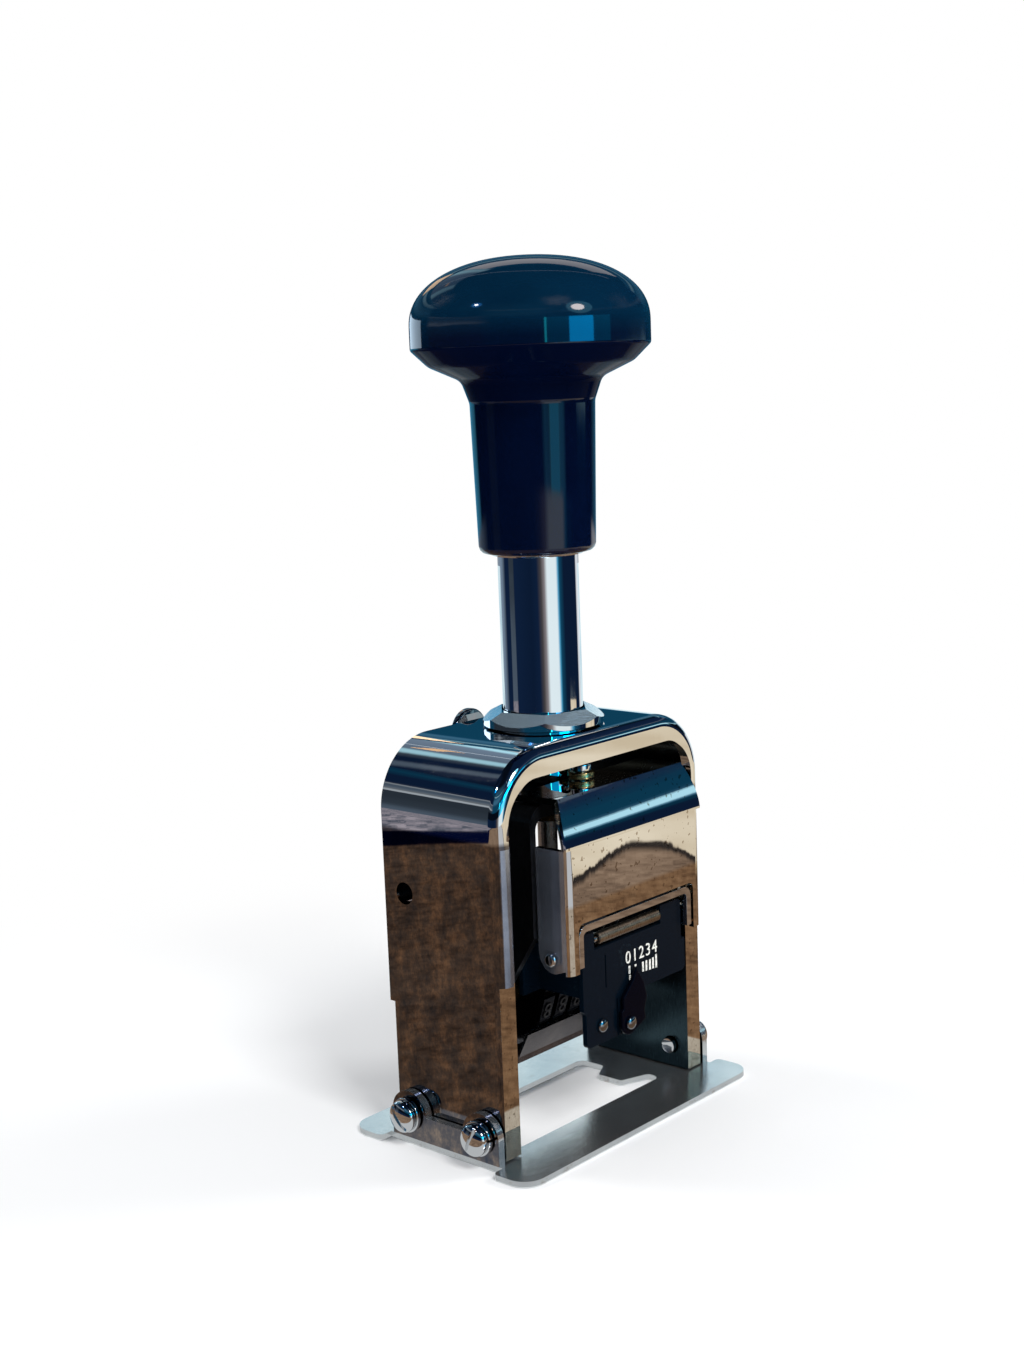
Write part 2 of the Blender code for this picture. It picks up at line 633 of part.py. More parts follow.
def make_collar():
    """The nut that guides the plunger: a round flange under six sloping flats."""
    seat = FRAME_TOP + GAP
    flange = seat + COLLAR_FLANGE
    top = flange + COLLAR_RISE
    spigot_end = FRAME_TOP - FRAME_CROWN
    bore = PLUNGER_RADIUS + GAP
    body = [
        (0, top), (COLLAR_RADIUS, top), (COLLAR_RADIUS, seat), (COLLAR_SPIGOT_RADIUS, seat),
        (COLLAR_SPIGOT_RADIUS, spigot_end), (0, spigot_end),
    ]
    collar = finish_mesh("collar_nut", turned(body), "chrome")
    slope = (COLLAR_RADIUS - bore) / COLLAR_RISE
    under, corner = spigot_end - CUT_OVERRUN, 1 / math.cos(math.pi / COLLAR_FLATS)
    hexagon = bmesh.new()
    bmesh.ops.create_cone(
        hexagon, cap_ends=True, segments=COLLAR_FLATS, radius1=(COLLAR_RADIUS + slope * (flange - under)) * corner,
        radius2=bore * corner, depth=top - under,
    )
    turn = Matrix.Rotation(math.radians(COLLAR_TURN_DEGREES), 3, "Z")
    bmesh.ops.rotate(hexagon, verts=hexagon.verts, matrix=turn)
    bmesh.ops.translate(hexagon, verts=hexagon.verts, vec=(0, 0, (under + top) / 2))
    combine(collar, hexagon, "INTERSECT")
    cut(collar, rod(bore, spigot_end - CUT_OVERRUN, top + CUT_OVERRUN, steps=ROUND_STEPS))
    cut(collar, rod(LOCK_PIN_RADIUS + GAP, 0, COLLAR_RADIUS, "Y", (LOCK_X, 0, LOCK_HEIGHT)))
    return collar


def make_lock_button():
    """The round button at the back. Its pin stops short of the plunger, beside it."""
    half_chord = math.sqrt((PLUNGER_RADIUS + GAP) ** 2 - max(abs(LOCK_X) - LOCK_PIN_RADIUS, 0) ** 2)
    tip = half_chord + LOCK_TRAVEL + LOCK_TIP_CLEARANCE
    back = FRAME_DEPTH / 2 + LIP_PROUD + GAP + LOCK_TRAVEL
    face = back + LOCK_HEAD_THICKNESS
    edge = LOCK_HEAD_THICKNESS / 3
    profile = [
        (0, face), (LOCK_HEAD_RADIUS - edge, face), (LOCK_HEAD_RADIUS, face - edge),
        (LOCK_HEAD_RADIUS, back), (LOCK_PIN_RADIUS, back), (LOCK_PIN_RADIUS, tip), (0, tip),
    ]
    centre = (LOCK_X, 0, LOCK_HEIGHT)
    return finish_mesh("lock_button", turned(profile, "Y", centre, 28), "dark_steel", centre, smooth=True)


def make_cross_bar():
    """The bar between the frame's legs, cross-drilled for the spring rod."""
    reach = FRAME_INNER_HALF + CROSS_BAR_SEAT - GAP
    finish_mesh("cross_bar", rod(
        CROSS_BAR_RADIUS, -reach, reach, "X", (0, 0, CROSS_BAR_HEIGHT)
    ), "dark_steel", smooth=True)


def make_spring_rod():
    """The fixed rod up the plunger's bore, with the flanged head that the return spring stands on."""
    foot = CROSS_BAR_HEIGHT + CROSS_BAR_RADIUS + GAP
    top = SPRING_SEAT_HEIGHT
    under = top - SPRING_SEAT_THICKNESS
    profile = [
        (0, top), (SPRING_SEAT_RADIUS, top), (SPRING_SEAT_RADIUS, under),
        (SPRING_ROD_RADIUS, under), (SPRING_ROD_RADIUS, foot), (0, foot),
    ]
    return finish_mesh("spring_rod", turned(profile, steps=SMALL_ROUND_STEPS), "satin_steel", smooth=True)


def spring_points():
    """The helix of the return spring, with a closed turn at each end."""
    low = SPRING_SEAT_HEIGHT + GAP + SPRING_WIRE_RADIUS
    high = PLUNGER_TOP - PLUNGER_CAP - GAP - SPRING_WIRE_RADIUS
    closed = 2 * SPRING_WIRE_RADIUS + 2 * GAP
    count = SPRING_TURNS * SPRING_POINTS_PER_TURN
    points = []
    for k in range(count + 1):
        turn = k / SPRING_POINTS_PER_TURN
        if turn < 1:
            z = low + closed * turn
        elif turn > SPRING_TURNS - 1:
            z = high - closed * (SPRING_TURNS - turn)
        else:
            z = low + closed + (high - low - 2 * closed) * (turn - 1) / (SPRING_TURNS - 2)
        angle = math.tau * turn
        points.append(Vector((SPRING_MEAN_RADIUS * math.cos(angle), SPRING_MEAN_RADIUS * math.sin(angle), z)))
    return points


def spring_self_gap(points):
    """The least clear distance between one turn of the wire and the next."""
    apart = SPRING_POINTS_PER_TURN // 2
    nearest = min(
        (points[a] - points[b]).length
        for a in range(len(points))
        for b in range(a + apart, len(points))
    )
    return nearest - 2 * SPRING_WIRE_RADIUS


def make_return_spring():
    points = spring_points()
    print(f"return_spring least gap to itself: {spring_self_gap(points) / MM:.2f} mm")
    curve = bpy.data.curves.new("return_spring", "CURVE")
    curve.dimensions = "3D"
    curve.bevel_depth = SPRING_WIRE_RADIUS
    curve.bevel_resolution = 1
    curve.use_fill_caps = True
    spline = curve.splines.new("POLY")
    spline.points.add(len(points) - 1)
    for slot, place in zip(spline.points, points):
        slot.co = (*place, 1)
    return link_mesh("return_spring", curve, "spring_steel")


def make_plunger():
    """The chromed tube: its threaded stem goes down through the carriage's web."""
    shoulder = CARRIAGE_TOP + GAP
    stem_end = CARRIAGE_TOP - CARRIAGE_WEB - PLUNGER_WASHER_THICKNESS - PLUNGER_NUT_HEIGHT - 4 * GAP
    profile = [
        (0, PLUNGER_TOP), (PLUNGER_RADIUS, PLUNGER_TOP), (PLUNGER_RADIUS, shoulder),
        (PLUNGER_STEM_RADIUS, shoulder), (PLUNGER_STEM_RADIUS, stem_end),
        (PLUNGER_STEM_BORE_RADIUS, stem_end), (PLUNGER_STEM_BORE_RADIUS, PLUNGER_FLOOR),
        (PLUNGER_BORE_RADIUS, PLUNGER_FLOOR), (PLUNGER_BORE_RADIUS, PLUNGER_TOP - PLUNGER_CAP),
        (0, PLUNGER_TOP - PLUNGER_CAP),
    ]
    return finish_mesh("plunger", turned(profile), "chrome", smooth=True)


def knob_profile():
    """Half outline of the knob, down its outer side from the crown and up the plunger's bore."""
    crown = KNOB_TOP - KNOB_BAND_TOP
    dome = [
        (KNOB_RADIUS * math.sin(a), KNOB_BAND_TOP + crown * math.cos(a))
        for a in (math.radians(90 * k / 10) for k in range(11))
    ]
    lean = KNOB_UNDERSIDE_DEGREES
    under = arc((KNOB_RADIUS - KNOB_ROUND_RADIUS, KNOB_BAND_BOTTOM), KNOB_ROUND_RADIUS, 0, -lean, steps=7)
    cove = (KNOB_STEM_TOP_RADIUS + KNOB_COVE_RADIUS, KNOB_NECK)
    under += arc(cove, KNOB_COVE_RADIUS, 2 * QUARTER_DEGREES - lean, 2 * QUARTER_DEGREES, steps=5)
    foot = KNOB_BOTTOM + KNOB_EDGE_RADIUS
    edge = arc((KNOB_STEM_BOTTOM_RADIUS - KNOB_EDGE_RADIUS, foot), KNOB_EDGE_RADIUS, 0, -90, steps=4)
    bore = PLUNGER_RADIUS + GAP
    return dome + under + edge + [
        (bore, KNOB_BOTTOM), (bore, PLUNGER_TOP + GAP), (0, PLUNGER_TOP + GAP),
    ]


def make_knob():
    return finish_mesh("knob", turned(knob_profile()), "knob_plastic", smooth=True)


def make_knob_ferrule():
    top = KNOB_BOTTOM - GAP
    return finish_mesh("knob_ferrule", ring(
        FERRULE_RADIUS, PLUNGER_RADIUS + GAP, top - FERRULE_HEIGHT, top, steps=ROUND_STEPS
    ), "chrome", smooth=True)


def make_carriage_frame():
    """An inverted U of sheet. Its side plates end in round feet about the axle."""
    half, inner = CARRIAGE_WIDTH / 2, CARRIAGE_INNER_HALF
    foot = AXLE_HEIGHT - CARRIAGE_FOOT_RADIUS
    outline = arch_outline(
        foot, CARRIAGE_TOP, half, CARRIAGE_CORNER_RADIUS, inner,
        CARRIAGE_TOP - CARRIAGE_WEB, CARRIAGE_CORNER_RADIUS - CARRIAGE_PLATE,
    )
    frame = finish_mesh(
        "carriage_frame", prism(outline, "Y", -CARRIAGE_FRONT, CARRIAGE_REAR), "dark_steel"
    )
    waist = AXLE_HEIGHT + CARRIAGE_FOOT_RADIUS
    reach = half + CUT_OVERRUN
    for side, edge in ((-1, CARRIAGE_FRONT), (1, CARRIAGE_REAR)):
        low = foot - CUT_OVERRUN
        span = edge - CARRIAGE_FOOT_RADIUS * math.cos(math.radians(20))
        sweep = [
            (side * (CARRIAGE_FOOT_RADIUS * math.cos(a)), AXLE_HEIGHT + CARRIAGE_FOOT_RADIUS * math.sin(a))
            for a in (math.radians(-90 + 110 * k / 8) for k in range(9))
        ]
        outer = side * (edge + CUT_OVERRUN)
        cutter = [(0, low)] + sweep + [(side * edge, waist + span), (outer, waist + span), (outer, low)]
        cut(frame, prism(cutter, "X", -reach, reach))
    slot_low = CROSS_BAR_HEIGHT - CROSS_BAR_RADIUS - CARRIAGE_SLOT_MARGIN
    slot_high = CROSS_BAR_HEIGHT + CROSS_BAR_RADIUS + STROKE + CARRIAGE_SLOT_MARGIN
    slot_half = CROSS_BAR_RADIUS + GAP
    slot = rounded([
        (-slot_half, slot_low, slot_half), (slot_half, slot_low, slot_half),
        (slot_half, slot_high, slot_half), (-slot_half, slot_high, slot_half),
    ], steps=5)
    cut(frame, prism(slot, "X", -reach, reach))
    cut(frame, rod(AXLE_RADIUS + GAP, -reach, reach, "X", (0, 0, AXLE_HEIGHT)))
    shaft = (0, PAWL_SHAFT_BACK, PAWL_SHAFT_HEIGHT)
    cut(frame, rod(PAWL_SHAFT_RADIUS + GAP, -reach, reach, "X", shaft))
    web_low = CARRIAGE_TOP - CARRIAGE_WEB - CUT_OVERRUN
    cut(frame, rod(PLUNGER_STEM_RADIUS + GAP, web_low, CARRIAGE_TOP + CUT_OVERRUN, steps=ROUND_STEPS))
    cut(frame, rod(
        COVER_SHANK_RADIUS + GAP, web_low, CARRIAGE_TOP + CUT_OVERRUN,
        centre=(COVER_SCREW_X, -COVER_SCREW_Y, 0),
    ))
    return frame


def make_plunger_nut():
    """The hexagon nut and washer under the carriage's web that hold the plunger."""
    under = CARRIAGE_TOP - CARRIAGE_WEB - GAP
    bore = PLUNGER_STEM_RADIUS + GAP
    finish_mesh("plunger_washer", ring(
        PLUNGER_WASHER_RADIUS, bore, under - PLUNGER_WASHER_THICKNESS, under
    ), "satin_steel", smooth=True)
    top = under - PLUNGER_WASHER_THICKNESS - GAP
    nut = finish_mesh("plunger_nut", rod(PLUNGER_NUT_RADIUS, top - PLUNGER_NUT_HEIGHT, top, steps=6), "brass")
    cut(nut, rod(bore, top - PLUNGER_NUT_HEIGHT - CUT_OVERRUN, top + CUT_OVERRUN, steps=24))


def hood_fold_outline():
    """What is taken off the cover's upright corner, from above, to leave it round."""
    x, y, radius = HOOD_HALF_WIDTH, -HOOD_FACE, HOOD_FOLD_RADIUS
    out = CUT_OVERRUN
    fold = arc((x - radius, y + radius), radius, -QUARTER_DEGREES, 0, steps=4)
    return fold + [(x + out, y + radius), (x + out, y - out), (x - radius, y - out)]


def make_hood():
    """The chromed front cover, a bent sheet with two cheeks and a cut-out for the setting plate."""
    sheet = HOOD_SHEET
    seat = CARRIAGE_TOP + GAP
    outer = [(-HOOD_FACE, HOOD_BOTTOM), (-HOOD_FACE, HOOD_SHOULDER_Z)]
    rise = HOOD_CREST_Z - HOOD_SHOULDER_Z
    lean = HOOD_FACE - HOOD_CREST_Y
    steps = 8
    for k in range(1, steps):
        share = k / steps
        outer.append((-HOOD_FACE + lean * share ** HOOD_SWEEP_SHARE, HOOD_SHOULDER_Z + rise * share))
    back = -PLUNGER_RADIUS - 2 * GAP
    outer += [(-HOOD_CREST_Y, HOOD_CREST_Z), (back, seat + sheet)]
    inner = [(back, seat), (-HOOD_CREST_Y + sheet, HOOD_CREST_Z - sheet)]
    for k in range(steps - 1, 0, -1):
        share = k / steps
        y = -HOOD_FACE + sheet + lean * share ** HOOD_SWEEP_SHARE
        inner.append((y, HOOD_SHOULDER_Z + (rise - sheet) * share))
    inner += [(-HOOD_FACE + sheet, HOOD_SHOULDER_Z), (-HOOD_FACE + sheet, HOOD_BOTTOM)]
    half = HOOD_HALF_WIDTH
    hood = finish_mesh("front_cover", prism(outer + inner, "X", -half, half), "chrome", smooth=True)
    radius = (HOOD_FACE - HOOD_CHEEK_BACK) / 2
    cheek = rounded([
        (-HOOD_FACE + JOIN_OVERLAP, HOOD_SHOULDER_Z, 0), (-HOOD_FACE + JOIN_OVERLAP, HOOD_BOTTOM + sheet, 0),
        (-HOOD_FACE + radius, HOOD_BOTTOM, radius / 3), (-HOOD_CHEEK_BACK, HOOD_BOTTOM, radius),
        (-HOOD_CHEEK_BACK, HOOD_SHOULDER_Z, 0),
    ], steps=5)
    for side in (-1, 1):
        low, high = sorted((side * (half - sheet), side * half))
        join(hood, prism(cheek, "X", low, high))
        cut(hood, rod(
            BAIL_PIVOT_RADIUS + GAP, low - CUT_OVERRUN, high + CUT_OVERRUN, "X",
            (0, -BAIL_PIVOT_Y, BAIL_PIVOT_Z),
        ))
    front, inside = -HOOD_FACE - CUT_OVERRUN, -HOOD_FACE + sheet + GAP
    wide = HOOD_CUT_HALF_WIDTH
    opening = rounded([
        (-wide, HOOD_BOTTOM - CUT_OVERRUN, 0), (wide, HOOD_BOTTOM - CUT_OVERRUN, 0),
        (wide, HOOD_CUT_TOP, HOOD_CUT_CORNER), (-wide, HOOD_CUT_TOP, HOOD_CUT_CORNER),
    ], steps=4)
    cut(hood, prism(opening, "Y", front, inside))
    top = HOOD_CREST_Z + CUT_OVERRUN
    narrow = half - HOOD_CREST_HALF_WIDTH
    for side in (-1, 1):
        corner = [(side * (half + CUT_OVERRUN), HOOD_SHOULDER_Z), (side * half, HOOD_SHOULDER_Z)]
        for k in range(1, 6):
            share = k / 6
            corner.append((side * (half - narrow * share ** 2), HOOD_SHOULDER_Z + rise * share))
        corner += [(side * HOOD_CREST_HALF_WIDTH, top), (side * (half + CUT_OVERRUN), top)]
        cut(hood, prism(corner, "Y", front, 0))
    for side in (-1, 1):
        low, high = HOOD_BOTTOM - CUT_OVERRUN, HOOD_SHOULDER_Z
        cut(hood, prism([(side * x, y) for x, y in hood_fold_outline()], "Z", low, high))
    cut(hood, rod(
        COVER_SHANK_RADIUS + GAP, CARRIAGE_TOP, HOOD_CREST_Z + CUT_OVERRUN,
        centre=(COVER_SCREW_X, -COVER_SCREW_Y, 0),
    ))
    return hood


def make_cover_screw():
    """The screw and brass washer that clamp the cover to the carriage's web."""
    centre = (COVER_SCREW_X, -COVER_SCREW_Y, 0)
    seat = CARRIAGE_TOP + GAP + HOOD_SHEET + GAP
    head = seat + COVER_WASHER_THICKNESS + GAP
    top = head + COVER_SCREW_HEIGHT
    end = CARRIAGE_TOP - CARRIAGE_WEB
    finish_mesh("cover_washer", ring(
        COVER_WASHER_RADIUS, COVER_SHANK_RADIUS + GAP, seat, seat + COVER_WASHER_THICKNESS, centre=centre
    ), "brass", smooth=True)
    edge = COVER_SCREW_HEIGHT / 3
    profile = [
        (0, top), (COVER_SCREW_RADIUS - edge, top), (COVER_SCREW_RADIUS, top - edge),
        (COVER_SCREW_RADIUS, head), (COVER_SHANK_RADIUS, head), (COVER_SHANK_RADIUS, end), (0, end),
    ]
    finish_mesh("cover_screw", turned(profile, "Z", centre, SMALL_ROUND_STEPS), "chrome", smooth=True)


def make_bail():
    """The narrow chromed bow that frames the setting plate and turns on the cover's cheeks."""
    front = -HOOD_FACE + GAP
    back = front + BAIL_SHEET
    half, strip = BAIL_HALF_WIDTH, BAIL_STRIP
    bow = arch_outline(
        BAIL_PIVOT_Z - BAIL_EYE_RADIUS, BAIL_TOP, half, BAIL_CORNER_RADIUS,
        half - strip, BAIL_TOP - strip, BAIL_CORNER_RADIUS - strip,
    )
    bail = finish_mesh("bail", prism(bow, "Y", front, back), "chrome")
    radius = BAIL_EYE_RADIUS
    corner = radius - BAIL_EYE_FLAT
    eye = rounded([
        (front, BAIL_PIVOT_Z - radius, 0), (-BAIL_PIVOT_Y + radius, BAIL_PIVOT_Z - radius, corner),
        (-BAIL_PIVOT_Y + radius, BAIL_PIVOT_Z + radius, corner), (front, BAIL_PIVOT_Z + radius, 0),
    ], steps=5)
    for side in (-1, 1):
        low, high = sorted((side * (half - strip), side * half))
        join(bail, prism(eye, "X", low, high))
        cut(bail, rod(
            BAIL_PIVOT_RADIUS + GAP, low - CUT_OVERRUN, high + CUT_OVERRUN, "X",
            (0, -BAIL_PIVOT_Y, BAIL_PIVOT_Z),
        ))
    return bail


def make_bail_pivots():
    """Two rivets through the cheeks that the bail turns on."""
    for name, side in (("left", -1), ("right", 1)):
        outside = HOOD_HALF_WIDTH + GAP
        top = outside + BAIL_HEAD_HEIGHT
        end = BAIL_HALF_WIDTH - BAIL_STRIP
        edge = BAIL_HEAD_HEIGHT / 2
        profile = [
            (0, top), (BAIL_HEAD_RADIUS - edge, top), (BAIL_HEAD_RADIUS, top - edge),
            (BAIL_HEAD_RADIUS, outside), (BAIL_PIVOT_RADIUS, outside), (BAIL_PIVOT_RADIUS, end), (0, end),
        ]
        profile = [(radius, side * along) for radius, along in profile]
        finish_mesh("bail_pivot_" + name, turned(
            profile, "X", (0, -BAIL_PIVOT_Y, BAIL_PIVOT_Z), SMALL_ROUND_STEPS
        ), "chrome", smooth=True)


def plate_outline():
    """The setting plate from the front: notched on top for the roller, with a tab at lower left."""
    fillet, slit = PLATE_SHEET, TAB_SLIT_WIDTH / 2
    return rounded([
        (-PLATE_LEFT, PLATE_RIGHT_BOTTOM, fillet / 2), (-TAB_LEFT, PLATE_RIGHT_BOTTOM - fillet, 0),
        (-TAB_LEFT, TAB_BOTTOM, fillet), (-TAB_SLIT_X - slit, TAB_BOTTOM, 0),
        (-TAB_SLIT_X - slit, PLATE_RIGHT_BOTTOM, 0), (-TAB_SLIT_X + slit, PLATE_RIGHT_BOTTOM, 0),
        (-TAB_SLIT_X + slit, TAB_BOTTOM, 0), (TAB_RIGHT, TAB_BOTTOM, fillet),
        (TAB_RIGHT, PLATE_RIGHT_BOTTOM, fillet / 2), (PLATE_RIGHT, PLATE_RIGHT_BOTTOM, fillet),
        (PLATE_RIGHT, PLATE_STEP_HEIGHT, fillet / 4), (PLATE_RIGHT_TOP, PLATE_STEP_HEIGHT, fillet / 4),
        (PLATE_RIGHT_TOP, PLATE_TOP, fillet), (PLATE_NOTCH_RIGHT, PLATE_TOP, 0),
        (PLATE_NOTCH_RIGHT, PLATE_NOTCH_FLOOR, 0), (-PLATE_NOTCH_LEFT, PLATE_NOTCH_FLOOR, 0),
        (-PLATE_NOTCH_LEFT, PLATE_TOP, 0), (-PLATE_LEFT, PLATE_TOP, fillet),
    ], steps=3)


def make_setting_plate():
    """The black plate, with a stay on each side that reaches back to the carriage's side plate."""
    plate = finish_mesh(
        "setting_plate", prism(plate_outline(), "Y", -PLATE_FACE, -PLATE_BACK), "black_paint"
    )
    outer, wall = PLATE_LEFT - GAP, CARRIAGE_INNER_HALF - GAP
    inner, front = outer - STAY_SHEET, -PLATE_BACK - JOIN_OVERLAP
    for side in (-1, 1):
        stay = [
            (inner, front), (inner, -STAY_BACK), (wall, -STAY_BACK),
            (wall, -STAY_BACK - STAY_SHEET), (outer, -STAY_BACK - STAY_SHEET), (outer, front),
        ]
        join(plate, prism([(side * x, y) for x, y in stay], "Z", STAY_BOTTOM, STAY_TOP))
    for x, z in ((TAB_RIVET_X, TAB_RIVET_Z), (POINTER_PIVOT_X, POINTER_PIVOT_Z)):
        cut(plate, rod(
            RIVET_RADIUS + GAP / 2, -PLATE_FACE - CUT_OVERRUN, -PLATE_BACK + CUT_OVERRUN, "Y", (x, 0, z)
        ))
    return plate


def make_roller():
    """The steel roller in the plate's notch, and the thin pin it turns on."""
    left, right = -PLATE_NOTCH_LEFT + GAP, PLATE_NOTCH_RIGHT - GAP
    centre = (0, -PLATE_FACE + PLATE_SHEET / 2, ROLLER_HEIGHT)
    finish_mesh("roller_pin", rod(ROLLER_PIN_RADIUS, left, right, "X", centre, 12), "chrome", smooth=True)
    finish_mesh("roller", ring(
        ROLLER_RADIUS, ROLLER_PIN_RADIUS + GAP / 2, left + ROLLER_LEFT_END, right - GAP, "X", centre
    ), "type_metal", smooth=True)


def pointer_outline():
    """The pointer about its pivot: a spike on a broad shoulder, over a round heel."""
    rise, heel = POINTER_TIP_RISE, POINTER_HEEL_RADIUS
    round_heel = arc((0, 0), heel, 2 * QUARTER_DEGREES, POINTER_HEEL_END_DEGREES, steps=7)
    blade = [(across * rise, up * rise) for across, up in POINTER_SHARES]
    return round_heel + blade + [(-heel, POINTER_STEP_SHARE * rise)]


def make_pointer():
    """The setting pointer, in front of the plate, and its rivet."""
    pivot = (POINTER_PIVOT_X, 0, POINTER_PIVOT_Z)
    outline = [(x + POINTER_PIVOT_X, z + POINTER_PIVOT_Z) for x, z in pointer_outline()]
    back = -PLATE_FACE - GAP
    front = back - POINTER_SHEET
    pointer = finish_mesh("pointer", prism(outline, "Y", front, back), "black_paint", pivot)
    cut(pointer, rod(RIVET_RADIUS + GAP / 2, front - CUT_OVERRUN, back + CUT_OVERRUN, "Y", pivot))
    make_rivet("pointer_rivet", POINTER_PIVOT_X, POINTER_PIVOT_Z, front - GAP)
    make_rivet("tab_rivet", TAB_RIVET_X, TAB_RIVET_Z, -PLATE_FACE - GAP)


def make_rivet(name, x, z, seat):
    """A domed rivet from the front, through to the back of the setting plate."""
    dome = [
        (RIVET_HEAD_RADIUS * math.cos(a), seat - RIVET_HEAD_HEIGHT * math.sin(a))
        for a in (math.radians(90 * k / 4) for k in range(5))
    ]
    dome[-1] = (0, dome[-1][1])
    profile = [(0, -PLATE_BACK), (RIVET_RADIUS, -PLATE_BACK), (RIVET_RADIUS, seat)] + dome
    finish_mesh(name, turned(profile, "Y", (x, 0, z), SMALL_ROUND_STEPS), "chrome", smooth=True)


def wheel_x(index):
    """Left end of one wheel's rim."""
    return -PACK_HALF_WIDTH + GAP / 2 + index * WHEEL_PITCH


def rim_outline():
    """Ten flats for the digits, a groove between each two. One flat faces straight down."""
    points = []
    step = math.tau / DIGITS_PER_WHEEL
    apothem = WHEEL_RADIUS * math.cos(step / 2)
    half = apothem * math.tan(step / 2) - WHEEL_GROOVE_WIDTH / 2
    for k in range(DIGITS_PER_WHEEL):
        middle = -math.pi / 2 + k * step
        for across in (-half, half):
            points.append((
                apothem * math.cos(middle) - across * math.sin(middle),
                apothem * math.sin(middle) + across * math.cos(middle),
            ))
        groove = middle + step / 2
        floor = WHEEL_RADIUS - WHEEL_GROOVE_DEPTH
        points.append((floor * math.cos(groove), floor * math.sin(groove)))
    return [(y, z + AXLE_HEIGHT) for y, z in points]


def ratchet_outline():
    """Ten saw teeth that face one way round."""
    points = []
    for k in range(DIGITS_PER_WHEEL):
        turn = math.tau * k / DIGITS_PER_WHEEL
        for radius in (RATCHET_RADIUS, RATCHET_RADIUS - RATCHET_TOOTH):
            points.append((radius * math.cos(turn), radius * math.sin(turn) + AXLE_HEIGHT))
    return points


def make_number_wheels():
    for index in range(WHEEL_COUNT):
        low = wheel_x(index)
        high = low + WHEEL_RIM
        centre = (low, 0, AXLE_HEIGHT)
        wheel = finish_mesh(
            f"number_wheel_{index + 1}", prism(rim_outline(), "X", low, high), "type_metal", centre
        )
        join(wheel, prism(ratchet_outline(), "X", high - JOIN_OVERLAP, high + RATCHET_WIDTH))
        bore = AXLE_RADIUS + GAP
        cut(wheel, rod(bore, low - CUT_OVERRUN, high + WHEEL_PITCH, "X", (0, 0, AXLE_HEIGHT)))


def headed_shaft(name, radius, head_radius, head, y, z, finish):
    """A shaft between the side plates, with a head outside the left one and a clip outside the right."""
    seat = CARRIAGE_WIDTH / 2 + GAP
    end = seat + 2 * head
    profile = [
        (0, end), (radius, end), (radius, -seat), (head_radius, -seat),
        (head_radius, -seat - head), (0, -seat - head),
    ]
    finish_mesh(name, turned(profile, "X", (0, y, z), SMALL_ROUND_STEPS), finish, smooth=True)
    finish_mesh(name + "_clip", ring(
        head_radius, radius + GAP, seat, seat + head, "X", (0, y, z)
    ), "dark_steel", smooth=True)


def make_axles():
    """The wheels' axle and the pawl's shaft, and the spacers beside the wheels."""
    headed_shaft(
        "wheel_axle", AXLE_RADIUS, AXLE_HEAD_RADIUS, AXLE_HEAD_THICKNESS, 0, AXLE_HEIGHT, "satin_steel"
    )
    headed_shaft(
        "pawl_shaft", PAWL_SHAFT_RADIUS, SHAFT_HEAD_RADIUS, SHAFT_HEAD_THICKNESS,
        PAWL_SHAFT_BACK, PAWL_SHAFT_HEIGHT, "satin_steel",
    )
    inner = PACK_HALF_WIDTH + GAP
    outer = inner + SPACER_LENGTH
    for name, side in (("left", -1), ("right", 1)):
        low, high = sorted((side * inner, side * outer))
        finish_mesh("wheel_spacer_" + name, ring(
            SPACER_RADIUS, AXLE_RADIUS + GAP, low, high, "X", (0, 0, AXLE_HEIGHT)
        ), "brass", smooth=True)


def holder_arm_outline(floor):
    """One arm of the pad holder from the side: a round hub on the axle, straight down to the tray."""
    half = HOLDER_ARM_HALF_DEPTH
    spread = math.degrees(math.asin(half / HOLDER_HUB_RADIUS))
    start, end = -QUARTER_DEGREES + spread, 3 * QUARTER_DEGREES - spread
    hub = arc((0, AXLE_HEIGHT), HOLDER_HUB_RADIUS, start, end, steps=14)
    return [(half, floor)] + hub + [(-half, floor)]


